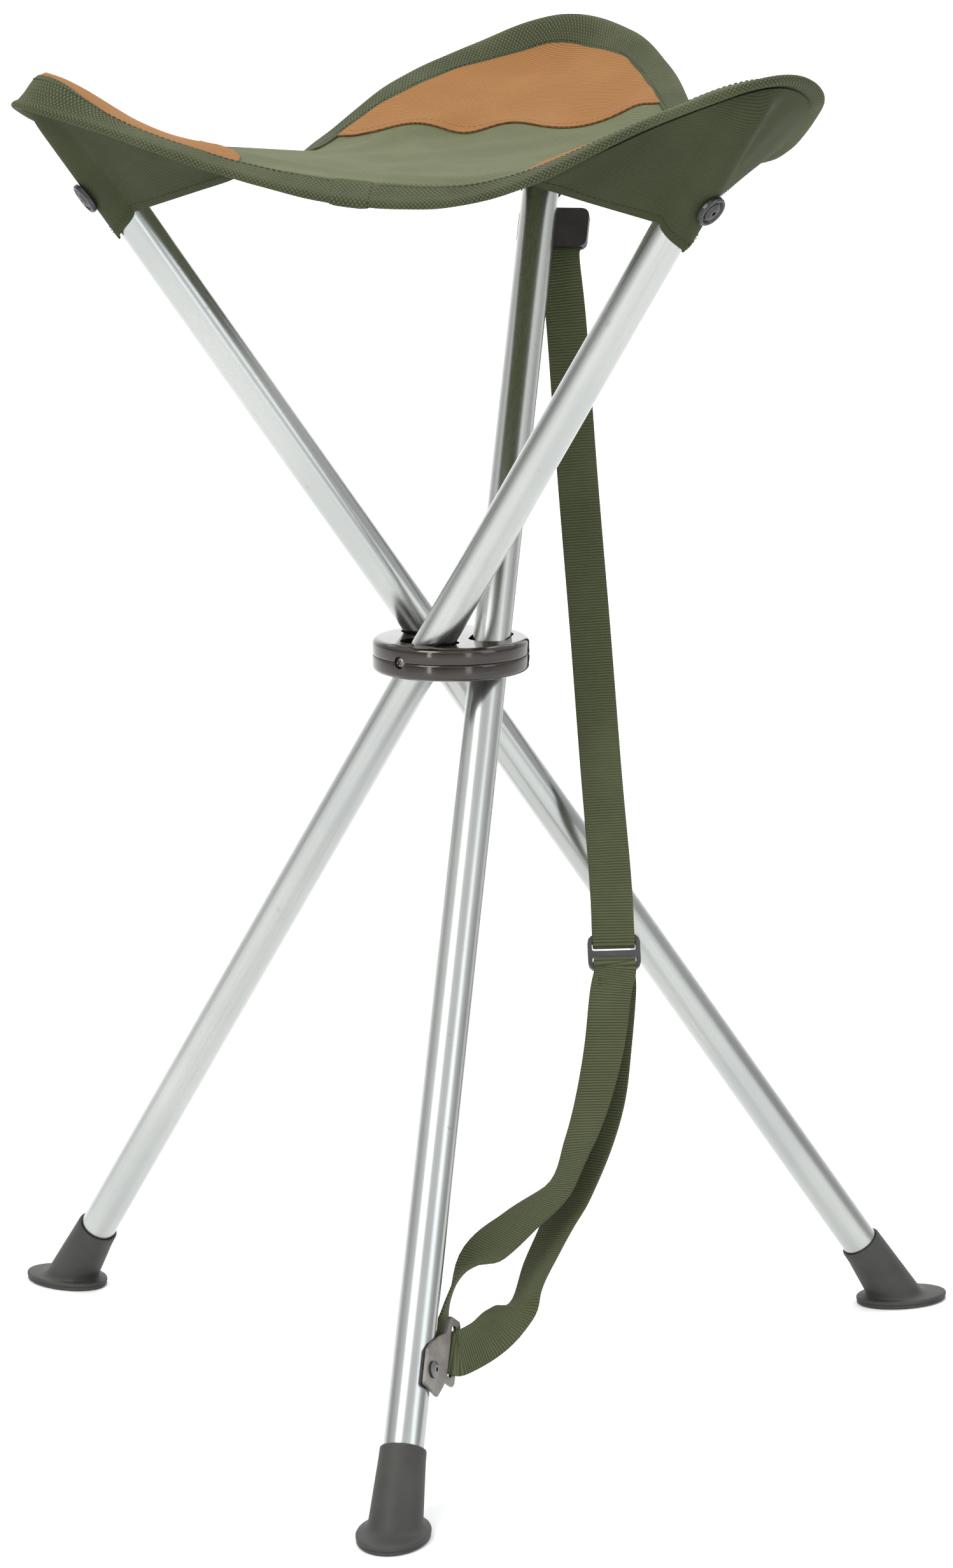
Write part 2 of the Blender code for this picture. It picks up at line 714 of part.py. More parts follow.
def make_rivet(side):
    """A dished washer over the cloth and a blind rivet through it into the tube."""
    frame = about_y(LEG[side], (0, 0, RIVET_STATION))
    base = 13.0
    ring = [(2.5, base + 1.0), (5.4, base + 1.0), (6.4, base + 2.2), (7.4, base + 2.2),
            (8.0, base + 1.4), (8.0, base), (7.2, base), (6.6, base + 1.2), (5.6, base), (2.5, base)]
    turned(f"cup_washer_{side}", ring, "steel", frame, HOME[side], 20)
    head = base + 1.3
    profile = [(0, head + 0.6), (1.1, head + 0.6), (1.1, head + 1.5), (2.6, head + 1.5),
               (4.8, head + 0.5), (4.9, head), (2.0, head), (2.0, 7.6), (3.1, 7.1), (3.1, 5.0), (0, 4.4)]
    turned(f"corner_rivet_{side}", profile, "steel", frame, HOME[side], 16)


# Carry strap.
def spline(points, per_span):
    """Points along a smooth curve through control rows of any length."""
    curve = []
    for i in range(len(points) - 1):
        rows = [points[min(max(i + k, 0), len(points) - 1)] for k in (-1, 0, 1, 2)]
        for step in range(per_span):
            t = step / per_span
            weights = (
                (-t + 2 * t**2 - t**3) / 2,
                (2 - 5 * t**2 + 3 * t**3) / 2,
                (t + 4 * t**2 - 3 * t**3) / 2,
                (t**3 - t**2) / 2,
            )
            curve.append([sum(w * r[c] for w, r in zip(weights, rows)) for c in range(len(rows[0]))])
    curve.append(list(points[-1]))
    return curve


def ribbon(name, controls, per_span, home):
    """Flat webbing along rows of x, y, z and a width direction; its length is returned."""
    curve = spline(controls, per_span)
    places = [Vector(row[:3]) for row in curve]
    rows = []
    for i, row in enumerate(curve):
        run = (places[min(i + 1, len(places) - 1)] - places[max(i - 1, 0)]).normalized()
        wide = Vector(row[3:])
        wide = (wide - run * wide.dot(run)).normalized()
        face = run.cross(wide)
        corners = ((1, 1), (-1, 1), (-1, -1), (1, -1))
        rows.append([places[i] + wide * (a * WEB_W / 2) + face * (b * WEB_T / 2) for a, b in corners])
    faces = skin(rows, False, True)
    last = (len(rows) - 1) * 4
    faces += [(0, 1, 2, 3), (last + 3, last + 2, last + 1, last)]
    add_mesh(name, [p for row in rows for p in row], faces, "webbing", True, WORLD, home)
    return sum((b - a).length for a, b in zip(places, places[1:]))


def slider_frame():
    """At the slider: X across the strap, Y up the strap, Z towards the front."""
    up = Vector((-0.03, 0.55, 0.835)).normalized()
    across = Vector((1, 0.03, 0)).normalized()
    across = (across - up * across.dot(up)).normalized()
    return across, up, across.cross(up)


def at_slider(y, z):
    across, up, front = slider_frame()
    return Vector(SLIDER_AT) + up * y + front * z


def make_slider():
    across, up, front = slider_frame()
    frame = columns(across, up, front, SLIDER_AT)
    body = prism("strap_slider", rounded(SLIDER_W, SLIDER_H, 4.0), -SLIDER_T / 2, SLIDER_T / 2,
                 "grey_plastic", frame, HOME["rear"])
    for name, y, tall in (("upper", 3.0, 4.6), ("lower", -4.0, 3.4)):
        slot = rounded(22.0, tall, 1.0, 0, y)
        boolean(body, prism(f"cut_slider_{name}", slot, -5, 5, None, frame))


def row(place, wide=(1, 0, 0)):
    return (*place, *wide)


def make_upper_strap():
    at, out, outer, up = leg_axes("rear")
    mouth = at + up * 241 + out * 11.7 + outer * 12.3
    wide = tuple(slider_frame()[0])
    controls = [row(mouth, out), row(mouth - up * 8 + outer * 0.3, out)]
    controls += [row((61.0, 128.0, 150.0)), row((66.0, 108.0, 75.0)), row((71.5, 72.0, 0.0))]
    controls += [row((76.0, 31.0, -68.0), wide), row(at_slider(40.0, 2.2), wide)]
    wrap = ((10.0, 2.7), (5.6, 2.7), (3.7, 2.0), (3.0, 0.0), (3.7, -2.0), (5.6, -2.7), (10.0, -2.9))
    controls += [row(at_slider(y, z), wide) for y, z in wrap]
    controls += [row(at_slider(40.0, -1.8), wide), row((76.2, 33.8, -69.9), wide)]
    return ribbon("strap_upper", controls, 4, HOME["rear"])


def bracket_frame():
    return LEG["rear"] @ Matrix.Rotation(radians(BRACKET_TURN), 4, "Z")


def bracket_row(x, y, station, wx, wy, ws):
    """A webbing row given beside the bracket: across the plate, off the leg, along the leg."""
    turn = WORLD.inverted() @ bracket_frame()
    place = turn @ (Vector((x, y, station)) * MM) / MM
    return (*place, *(turn.to_3x3() @ Vector((wx, wy, ws))))


def make_loop_strap():
    wide = tuple(slider_frame()[0])
    wrap = ((-16.5, -2.9), (-10.0, -2.8), (-6.2, -2.6), (-4.3, -1.9), (-3.9, 0.0))
    wrap += ((-4.3, 1.9), (-6.2, 2.6), (-10.5, 2.7))
    controls = [row(at_slider(y, z), wide) for y, z in wrap]
    controls += [
        (78.3, -41.0, -165.5, 1, -0.2, 0),
        (74.6, -58.0, -188.4, 0.9, -0.43, 0),
        (68.8, -75.0, -210.0, 0.73, -0.68, -0.05),
        (61.5, -89.5, -228.5, 0.5, -0.85, -0.1),
        (51.5, -106.0, -246.2, 0.2, -0.97, -0.13),
        (32.0, -129.0, -256.6, 0.34, -0.89, -0.3),
        (15.7, -149.0, -264.8, 0.53, -0.76, -0.39),
    ]
    controls += [
        bracket_row(5.8, 25.5, -319.0, 0.6, -0.75, 0.1),
        bracket_row(4.0, 21.0, -333.0, 0.45, -0.85, 0.25),
        bracket_row(2.6, 21.3, -344.0, 0.2, -0.8, 0.3),
        bracket_row(2.4, 20.3, -355.5, 0.1, -0.75, 0.6),
        bracket_row(3.4, 18.9, -358.2, 0, -0.1, 1),
        bracket_row(5.5, 17.4, -358.5, 0, 0, 1),
        bracket_row(7.8, 16.8, -358.5, 0, 0, 1),
        bracket_row(10.6, 16.4, -358.5, 0, 0, 1),
        bracket_row(12.8, 17.9, -358.5, 0, 0, 1),
        bracket_row(13.4, 22.0, -357.0, 0, 0, 1),
    ]
    controls += [
        (14.0, -181.0, -300.1, -0.05, 0.5, 0.85),
        (26.6, -163.0, -294.0, -0.36, 0.85, 0.38),
        (33.7, -150.0, -289.2, -0.3, 0.95, -0.05),
        (41.4, -130.0, -276.7, -0.42, 0.9, 0.05),
        (50.1, -113.5, -263.8, -0.57, 0.82, 0.05),
        (58.8, -97.5, -251.6, -0.68, 0.72, 0.13),
        (68.3, -80.5, -231.7, -0.83, 0.5, 0.15),
        (75.0, -65.5, -212.6, -0.9, 0.4, 0.05),
        (78.3, -50.0, -189.5, -0.97, 0.2, 0),
    ]
    controls += [row(at_slider(-18.5, -3.6), tuple(-c for c in wide))]
    return ribbon("strap_loop", controls, 3, HOME["rear"])


def make_fitting():
    """Moulded tab behind the rear leg that holds the strap's top end."""
    frame = about_y(LEG["rear"], (0, 0, FITTING_STATION))
    outline = rounded(23.0, 37.0, 4.0, 0.0, 6.5)
    tab = prism("strap_top_fitting", outline, 9.9, 14.4, "grey_plastic", frame, HOME["rear"])
    mouth = rounded(14.0, WEB_W + 0.8, 0.3, -9.0, 11.7, 1)
    boolean(tab, prism("cut_mouth", mouth, 11.2, 13.4, None, frame))
    boolean(tab, bar_cutter("cut_tab_rivet", 2.3, 5, 20, frame, 12))
    boolean(bpy.data.objects["leg_tube_rear"], bar_cutter("cut_tube_top", 2.3, 3, 14, frame, 12))
    profile = [(0, 16.3), (2.2, 16.2), (4.2, 15.2), (4.2, 14.6), (2.0, 14.6), (2.0, 7.6),
               (3.0, 7.2), (3.0, 5.4), (0, 5.0)]
    turned("strap_top_rivet", profile, "steel", frame, HOME["rear"], 16)


def make_bracket():
    """Riveted plate at the foot of the rear leg, with a slotted end that carries the loop."""
    turn = bracket_frame()
    frame = about_x(turn, (0, 0, BRACKET_STATION))
    outline = [(-6, -9), (7, -11), (12, -4), (12.5, -2), (21.0, -2), (22.4, 0), (22.4, 28)]
    outline += [(21.0, 30), (12.5, 30), (11.0, 28), (9.0, 21), (-4, 12), (-7, 8), (-7, -8)]
    plate = prism("strap_bracket", outline, 9.8, 11.4, "steel", frame, HOME["rear"])
    boolean(plate, prism("cut_bracket_slot", rounded(4.4, 25.0, 1.0, 16.2, 14.0), 5, 15, None, frame))
    boolean(plate, bar_cutter("cut_bracket_rivet", 2.3, 5, 20, frame, 12))
    boolean(bpy.data.objects["leg_tube_rear"], bar_cutter("cut_tube_low", 2.3, 3, 14, frame, 12))
    profile = [(0, 12.4), (1.1, 12.4), (1.1, 13.2), (2.2, 13.2), (4.1, 12.3), (4.1, 11.7),
               (2.0, 11.7), (2.0, 7.6), (3.0, 7.2), (3.0, 5.4), (0, 5.0)]
    turned("strap_bracket_rivet", profile, "steel", frame, HOME["rear"], 16)


for each in SIDES:
    make_tube(each)
    make_plug(each)
    make_foot(each)
    make_sleeve(each)
    make_pivot_screw(each)
    make_patch(each)
    make_pocket(each)
    make_rivet(each)
make_hub_half("hub_upper", 1)
make_hub_half("hub_lower", -1)
make_clamp()
make_seat_panel()
make_binding()
make_slider()
print("strap_upper length mm", round(make_upper_strap(), 1))
print("strap_loop length mm", round(make_loop_strap(), 1))
make_fitting()
make_bracket()
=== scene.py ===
"""Looks for the three leg stool. Lengths below are in millimetres over the hub, as the stool is made."""
from math import atan2, cos, degrees, exp, hypot, pi, radians, sin

import bmesh
import bpy
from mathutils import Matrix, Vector


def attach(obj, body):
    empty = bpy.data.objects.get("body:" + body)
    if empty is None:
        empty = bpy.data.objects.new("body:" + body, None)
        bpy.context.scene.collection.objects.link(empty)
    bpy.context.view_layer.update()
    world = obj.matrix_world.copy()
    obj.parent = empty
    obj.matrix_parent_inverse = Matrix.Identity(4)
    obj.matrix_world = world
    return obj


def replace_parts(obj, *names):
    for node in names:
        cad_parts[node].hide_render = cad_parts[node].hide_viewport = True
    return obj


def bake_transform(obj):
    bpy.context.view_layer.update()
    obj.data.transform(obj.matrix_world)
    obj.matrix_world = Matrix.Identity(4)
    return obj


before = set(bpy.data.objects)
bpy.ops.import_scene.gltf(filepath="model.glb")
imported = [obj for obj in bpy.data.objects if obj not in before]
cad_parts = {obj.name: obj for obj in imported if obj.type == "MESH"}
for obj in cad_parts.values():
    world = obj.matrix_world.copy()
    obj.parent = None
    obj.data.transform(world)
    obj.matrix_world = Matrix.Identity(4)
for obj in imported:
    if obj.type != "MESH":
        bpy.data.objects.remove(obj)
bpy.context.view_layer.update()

MM = 0.001
SIDES = ("left", "right", "rear")
AZIMUTH = {"left": 109.3, "right": -130.7, "rear": -10.7}
LEAN = 35.1
HUB_AT = Vector((-15.57, 38.74, 370.0))
PIVOT_REACH = 19.8
TUBE_R = 9.5
TUBE_BORE_R = 8.0
TUBE_TOP = 334.0
TUBE_END = -436.0
BLEND_SPAN = (-80, -15)


# ---------------------------------------------------------------- materials
class Nodes:
    """A few words for writing node trees: every method returns an output socket."""

    def __init__(self, name):
        self.mat = bpy.data.materials.new(name)
        self.mat.use_nodes = True
        self.tree = self.mat.node_tree
        self.shader = self.tree.nodes["Principled BSDF"]
        self.place = self.new("ShaderNodeTexCoord").outputs["Object"]

    def new(self, kind, **settings):
        node = self.tree.nodes.new(kind)
        for key, value in settings.items():
            setattr(node, key, value)
        return node

    def feed(self, socket, value):
        if isinstance(value, bpy.types.NodeSocket):
            self.tree.links.new(value, socket)
        else:
            socket.default_value = value

    def math(self, operation, a, b=0.0, clamp=False):
        node = self.new("ShaderNodeMath", operation=operation, use_clamp=clamp)
        self.feed(node.inputs[0], a)
        self.feed(node.inputs[1], b)
        return node.outputs[0]

    def noise(self, scale, detail=2.0, rough=0.5, stretch=(1, 1, 1), at=None):
        scaled = self.new("ShaderNodeMapping")
        self.feed(scaled.inputs["Vector"], at or self.place)
        scaled.inputs["Scale"].default_value = stretch
        node = self.new("ShaderNodeTexNoise")
        self.feed(node.inputs["Vector"], scaled.outputs[0])
        node.inputs["Scale"].default_value = scale
        node.inputs["Detail"].default_value = detail
        node.inputs["Roughness"].default_value = rough
        return node.outputs["Fac"]

    def uv(self):
        return self.new("ShaderNodeUVMap", uv_map="cloth").outputs["UV"]

    def ribs(self, turn, pitch, wander=None):
        """A wave from 0 to 1 across the cloth: crests every pitch mm, running at an angle."""
        dot = self.new("ShaderNodeVectorMath", operation="DOT_PRODUCT")
        self.feed(dot.inputs[0], self.uv())
        a = radians(turn)
        k = 2 * pi / (pitch * MM)
        dot.inputs[1].default_value = (cos(a) * k, sin(a) * k, 0)
        phase = dot.outputs["Value"]
        if wander is not None:
            phase = self.math("ADD", phase, wander)
        return self.span(self.math("SINE", phase), -1, 1)

    def blend(self, share, a, b):
        node = self.new("ShaderNodeMix", data_type="RGBA")
        self.feed(node.inputs["Factor"], share)
        self.feed(node.inputs["A"], a if isinstance(a, bpy.types.NodeSocket) else (*a, 1))
        self.feed(node.inputs["B"], b if isinstance(b, bpy.types.NodeSocket) else (*b, 1))
        return node.outputs["Result"]

    def span(self, value, low, high, to_low=0.0, to_high=1.0):
        node = self.new("ShaderNodeMapRange")
        self.feed(node.inputs["Value"], value)
        node.inputs["From Min"].default_value = low
        node.inputs["From Max"].default_value = high
        node.inputs["To Min"].default_value = to_low
        node.inputs["To Max"].default_value = to_high
        return node.outputs[0]

    def bump(self, height, distance, strength=1.0, under=None):
        node = self.new("ShaderNodeBump")
        self.feed(node.inputs["Height"], height)
        node.inputs["Distance"].default_value = distance
        node.inputs["Strength"].default_value = strength
        if under is not None:
            self.feed(node.inputs["Normal"], under)
        return node.outputs[0]

    def finish(self, colour, rough, normal=None, metal=0.0, sheen=0.0, coat=0.0, specular=0.5):
        values = {
            "Base Color": colour,
            "Roughness": rough,
            "Metallic": metal,
            "Sheen Weight": sheen,
            "Coat Weight": coat,
            "Specular IOR Level": specular,
        }
        for key, value in values.items():
            self.feed(self.shader.inputs[key], value)
        if normal is not None:
            self.feed(self.shader.inputs["Normal"], normal)
        return self.mat


def cloth(name, light, dark, weave, depth, sheen=0.3, fade=None):
    """Woven cloth: weave is a list of (angle, pitch) wave pairs that multiply into one pattern."""
    n = Nodes(name)
    wander = n.noise(900, 1.0)
    pattern = None
    for turn, pitch in weave:
        wave = n.ribs(turn, pitch, wander)
        pattern = wave if pattern is None else n.math("MULTIPLY", pattern, wave)
    fibre = n.noise(2600, 3.0, 0.6)
    patches = n.noise(22, 3.0, 0.55)
    raised = n.math("ADD", pattern, n.math("MULTIPLY", fibre, 0.35))
    base = n.blend(n.span(raised, 0.15, 0.95), dark, light)
    pale = tuple(min(1.0, c * 1.22 + 0.006) for c in light)
    base = n.blend(n.span(patches, 0.45, 0.75, 0.0, 0.35), base, fade or pale)
    normal = n.bump(raised, depth * MM, 0.8)
    mat = n.finish(base, 0.88, normal, 0.0, sheen, 0.0, 0.2)
    n.shader.inputs["Sheen Roughness"].default_value = 0.45
    n.shader.inputs["Sheen Tint"].default_value = (*pale, 1)
    return mat


def aluminium():
    """Drawn tube with a clear satin finish: fine lines run along it, none across."""
    n = Nodes("satin_aluminium")
    lines = n.noise(420, 3.0, 0.6, (1, 0.012, 1), n.uv())
    blotch = n.noise(9, 3.0)
    nicks = n.noise(160, 2.0, 0.5)
    colour = n.blend(n.span(blotch, 0.3, 0.7), (0.40, 0.415, 0.405), (0.49, 0.50, 0.48))
    colour = n.blend(n.span(lines, 0.35, 0.7, 0.0, 0.35), colour, (0.34, 0.365, 0.37))
    colour = n.blend(n.span(nicks, 0.71, 0.76, 0.0, 0.5), colour, (0.30, 0.31, 0.31))
    rough = n.math("ADD", n.span(lines, 0.2, 0.8, 0.20, 0.27), n.span(blotch, 0.3, 0.7, 0.0, 0.05))
    return n.finish(colour, rough, n.bump(lines, 0.000006, 0.35), 1.0)


def steel(name, tone, rough):
    n = Nodes(name)
    grain = n.noise(700, 3.0, 0.6)
    stain = n.noise(90, 4.0, 0.6)
    colour = n.blend(n.span(stain, 0.35, 0.7), tone, tuple(c * 0.62 for c in tone))
    value = n.span(grain, 0.3, 0.7, rough - 0.08, rough + 0.1)
    return n.finish(colour, value, n.bump(grain, 0.00003, 0.4), 1.0)


def plastic(name, light, dark, rough, depth=0.02, coat=0.0):
    n = Nodes(name)
    skin = n.noise(1500, 2.0, 0.5)
    cloudy = n.noise(60, 3.0, 0.55)
    colour = n.blend(n.span(cloudy, 0.35, 0.7), dark, light)
    value = n.span(cloudy, 0.3, 0.7, rough - 0.05, rough + 0.06)
    return n.finish(colour, value, n.bump(skin, depth * MM, 0.5), 0.0, 0.0, coat)


MATS = {
    "canvas": cloth("olive_twill", (0.109, 0.120, 0.064), (0.056, 0.064, 0.032), [(38, 1.7)], 0.16),
    "pocket": cloth("olive_pocket_twill", (0.044, 0.051, 0.025), (0.023, 0.027, 0.013), [(74, 1.15)], 0.1),
    "tape": cloth("olive_basket_tape", (0.092, 0.102, 0.053), (0.026, 0.031, 0.015),
                  [(45, 1.55), (-45, 1.55)], 0.3),
    "patch": cloth("tan_twill", (0.27, 0.127, 0.041), (0.168, 0.072, 0.021), [(52, 1.5)], 0.14, 0.2,
                   (0.30, 0.155, 0.056)),
    "webbing": cloth("ribbed_webbing", (0.080, 0.090, 0.044), (0.030, 0.035, 0.017), [(90, 1.5)], 0.3),
    # The olive thread is coloured darker than the tape, so the tape's stitch rows read as dark dots: painted
    # shade of the stitch holes.
    "thread": cloth("dark_thread_painted_hole_shade", (0.055, 0.068, 0.034), (0.026, 0.032, 0.016), [(20, 0.6)], 0.05),
    "tan_thread": cloth("tan_thread", (0.36, 0.20, 0.11), (0.24, 0.11, 0.05), [(20, 0.6)], 0.05),
    "aluminium": aluminium(),
    "steel": steel("zinc_steel", (0.20, 0.20, 0.205), 0.36),
    "gunmetal": steel("gunmetal_steel", (0.085, 0.085, 0.088), 0.42),
    "bracket": steel("bracket_steel", (0.23, 0.215, 0.20), 0.38),
    "hub": plastic("glossy_hub", (0.022, 0.015, 0.009), (0.010, 0.007, 0.004), 0.12, 0.003, 0.25),
    "slider": plastic("dark_grey_plastic", (0.046, 0.041, 0.042), (0.028, 0.025, 0.026), 0.5),
    "rubber": plastic("grey_rubber", (0.036, 0.037, 0.031), (0.020, 0.021, 0.018), 0.6, 0.06),
}


# ---------------------------------------------------------------- shapes
def ease(t):
    t = min(max(t, 0.0), 1.0)
    return t * t * (3 - 2 * t)


def leg_axes(side):
    """Pivot point, then the hinge axis, the outward side and the leg's own direction."""
    p = radians(AZIMUTH[side])
    out = Vector((cos(p), sin(p), 0))
    lean = Vector((-sin(p), cos(p), 0))
    tilt = radians(LEAN)
    up = Vector((0, 0, cos(tilt))) + lean * sin(tilt)
    outer = lean * cos(tilt) - Vector((0, 0, sin(tilt)))
    return out * PIVOT_REACH, out, outer, up


def on_leg(side, x, y, station):
    at, out, outer, up = leg_axes(side)
    return at + out * x + outer * y + up * station


def surface(name, look, points, faces, normals=None, uvs=None, flat=()):
    """A mesh from points over the hub; normals are per point, and flat faces keep their own."""
    mesh = bpy.data.meshes.new(name)
    mesh.from_pydata([(HUB_AT + Vector(p)) * MM for p in points], [], faces)
    mesh.polygons.foreach_set("use_smooth", [i not in flat for i in range(len(faces))])
    if uvs:
        layer = mesh.uv_layers.new(name="cloth")
        for loop in mesh.loops:
            layer.data[loop.index].uv = uvs[loop.vertex_index]
    obj = bpy.data.objects.new(name, mesh)
    bpy.context.scene.collection.objects.link(obj)
    mesh.materials.append(MATS[look])
    mesh.validate()
    mesh.update()
    if normals:
        split = [Vector()] * len(mesh.loops)
        for face in mesh.polygons:
            for k in face.loop_indices:
                point = mesh.loops[k].vertex_index
                split[k] = face.normal if face.index in flat else normals[point]
        mesh.normals_split_custom_set(split)
    else:
        grown = bmesh.new()
        grown.from_mesh(mesh)
        bmesh.ops.recalc_face_normals(grown, faces=grown.faces)
        grown.to_mesh(mesh)
        grown.free()
    return obj


def skin(rows, columns, wrap_rows=False, wrap_columns=False, base=0):
    faces = []
    for i in range(rows if wrap_rows else rows - 1):
        for j in range(columns if wrap_columns else columns - 1):
            a, b = base + i * columns, base + (i + 1) % rows * columns
            k = (j + 1) % columns
            faces.append((a + j, b + j, b + k, a + k))
    return faces


def lofted(rows, columns, base=0):
    """Faces of a run of rings that is capped at both ends."""
    last = base + (rows - 1) * columns
    caps = [tuple(range(base, base + columns)), tuple(range(last, last + columns))]
    return skin(rows, columns, False, True, base) + caps


def run_along(points):
    """The distance to each point along a line of points."""
    run = [0.0]
    for a, b in zip(points, points[1:]):
        run.append(run[-1] + (b - a).length)
    return run


def sheet(name, look, rows, normals, uvs, thick, rise=0.0):
    """A closed thin sheet over a grid of middle points, shifted by rise along its normals."""
    n, m = len(rows), len(rows[0])
    size = n * m
    flat_p = [p for r in rows for p in r]
    flat_n = [v for r in normals for v in r]
    flat_uv = [v for r in uvs for v in r]
    points = [p + v * (rise + thick / 2) for p, v in zip(flat_p, flat_n)]
    points += [p + v * (rise - thick / 2) for p, v in zip(flat_p, flat_n)]
    faces = skin(n, m)
    a, b, c = (points[k] for k in faces[len(faces) // 2][:3])
    if (b - a).cross(c - b).dot(flat_n[faces[len(faces) // 2][0]]) < 0:
        faces = [tuple(reversed(f)) for f in faces]
    faces += [tuple(size + v for v in reversed(f)) for f in faces]
    edge = list(range(m)) + [i * m + m - 1 for i in range(1, n)]
    edge += [(n - 1) * m + j for j in range(m - 2, -1, -1)] + [i * m for i in range(n - 2, 0, -1)]
    first = len(faces)
    ring = list(zip(edge, edge[1:] + edge[:1]))
    flip = (edge[0], edge[1]) in {(f[k], f[(k + 1) % 4]) for f in faces[: first // 2] for k in range(4)}
    for v, w in ring:
        faces.append((w, v, size + v, size + w) if flip else (v, w, size + w, size + v))
    both = flat_n + [-v for v in flat_n]
    return surface(name, look, points, faces, both, flat_uv * 2, set(range(first, len(faces))))


def grid_normals(rows, like):
    """Unit normals of a grid by differences, all on the side that like(i, j) points to."""
    n, m = len(rows), len(rows[0])
    found = []
    for i in range(n):
        line = []
        for j in range(m):
            a = rows[min(i + 1, n - 1)][j] - rows[max(i - 1, 0)][j]
            b = rows[i][min(j + 1, m - 1)] - rows[i][max(j - 1, 0)]
            line.append(a.cross(b).normalized())
        found.append(line)
    if found[n // 2][m // 2].dot(like) < 0:
        found = [[-v for v in line] for line in found]
    return found


def turned(name, look, profile, frame_at, steps=72, closed=False):
    """A turned piece in a frame; the profile is (radius, height) down its outer side."""
    points = []
    for radius, height in profile:
        for k in range(steps):
            a = 2 * pi * k / steps
            points.append(frame_at(radius * cos(a), radius * sin(a), height))
    faces = skin(len(profile), steps, True, True) if closed else lofted(len(profile), steps)
    uvs = []
    for radius, height in profile:
        uvs += [(radius * 2 * pi * k / steps * MM, height * MM) for k in range(steps)]
    return surface(name, look, points, faces, None, uvs)


def crease(obj, angle=35):
    """Sharp edges over an angle, smooth below it."""
    obj.data.polygons.foreach_set("use_smooth", [True] * len(obj.data.polygons))
    obj.data.set_sharp_from_angle(angle=radians(angle))
    return obj


def stitches(name, look, path, normals, pitch=3.0, length=2.1, radius=0.27):
    """Thread along a path of points: one rounded stitch every pitch."""
    points, faces = [], []
    run = run_along(path)

    def at(distance):
        k = max(i for i in range(len(run) - 1) if run[i] <= distance)
        share = (distance - run[k]) / (run[k + 1] - run[k])
        return path[k].lerp(path[k + 1], share), normals[k].lerp(normals[k + 1], share)

    count = int(run[-1] / pitch)
    for s in range(count):
        middle = (s + 0.5) * pitch
        base = len(points)
        for share, size in ((-0.5, 0.35), (-0.3, 0.95), (0.3, 0.95), (0.5, 0.35)):
            place, normal = at(min(max(middle + share * length, 0.01), run[-1] - 0.01))
            ahead = at(min(middle + share * length + 0.3, run[-1]))[0]
            side = normal.cross(ahead - place).normalized()
            lift = 0.18 * radius * (1 - 4 * share * share)
            for k in range(6):
                a = 2 * pi * k / 6
                ring = side * cos(a) + normal.normalized() * sin(a)
                points.append(place + ring * (radius * size) + normal.normalized() * lift)
        faces += lofted(4, 6, base)
    return surface(name, look, points, faces, None, [(p.x * MM, p.y * MM) for p in points])


# ---------------------------------------------------------------- the seat's surface
OUTLINE = (
    (193.5, 212, 275, 0), (206.6, 192, 268, 2), (223.4, 152, 248, 4), (253.5, 122, 232, 8),
    (287.8, 147, 247, 2), (303.3, 190, 277, 0), (318.8, 211, 291, 0), (329.5, 203, 279, 0),
    (335.0, 190, 269, 1), (358.0, 152, 245, 4), (384.0, 134, 264, 3), (408.5, 168, 285, 0),
    (420.4, 194, 299, 0), (433.5, 213, 306, 0), (446.5, 194, 290, 0), (460.0, 168, 272, 0),
    (474.0, 149, 249, 2), (493.5, 122, 236, 6), (515.0, 147, 243, 5), (540.5, 192, 262, 2),
)
SEAT_LEVEL = 243.0
SEAT_BOWL = 2.4
CORNER_REST = 287.4
CORNER_SPREAD = 40.0
CANVAS_T = 1.4
TAPE_W = 12.5
HEM_AT = {"left": 121.0, "right": 114.0, "rear": 97.0}
POCKET_REACH = 121.0
POCKET_HEM = 264.0
TOP_STATION = 338.0
SECTORS = {"left": (133.5, 253.5), "right": (253.5, 373.5), "rear": (13.5, 133.5)}


def outline_value(column, azimuth):
    n = len(OUTLINE)
    first = OUTLINE[0][0]
    a = (azimuth - first) % 360 + first
    i = max(k for k in range(n) if OUTLINE[k][0] <= a)

    def station(k):
        turn, k = divmod(k, n)
        return OUTLINE[k][0] + 360 * turn, OUTLINE[k][column]

    (a0, v0), (a1, v1), (a2, v2), (a3, v3) = (station(i + k) for k in (-1, 0, 1, 2))
    h0, h1, h2 = a1 - a0, a2 - a1, a3 - a2
    s0, s1, s2 = (v1 - v0) / h0, (v2 - v1) / h1, (v3 - v2) / h2
    m1 = (s0 * h1 + s1 * h0) / (h0 + h1)
    m2 = (s1 * h2 + s2 * h1) / (h1 + h2)
    t = (a - a1) / h1
    near = (2 * t**3 - 3 * t**2 + 1) * v1 + (t**3 - 2 * t**2 + t) * h1 * m1
    return near + (3 * t**2 - 2 * t**3) * v2 + (t**3 - t**2) * h1 * m2


TABLE = [[outline_value(c, a * 0.5) for c in (1, 2, 3)] for a in range(720)]


def outline(azimuth):
    """Reach, height and droop of the seat's edge, from a table made once."""
    a = azimuth % 360 * 2
    k = int(a)
    low, high, t = TABLE[k % 720], TABLE[(k + 1) % 720], a - k
    return [p + (q - p) * t for p, q in zip(low, high)]


def bowl(x, y):
    reach, edge, droop = outline(degrees(atan2(y, x)))
    q = hypot(x, y) / reach
    rise = edge + droop - SEAT_LEVEL
    return SEAT_LEVEL + rise * q**SEAT_BOWL - droop * ease((q - 0.86) / 0.14) * min(1, q), q


TOPS = {side: on_leg(side, 0, 0, TOP_STATION) for side in SIDES}
PRESS = {side: CORNER_REST - bowl(TOPS[side].x, TOPS[side].y)[0] for side in SIDES}
BEARING = {side: Vector((TOPS[side].x, TOPS[side].y, 0)).normalized() for side in SIDES}


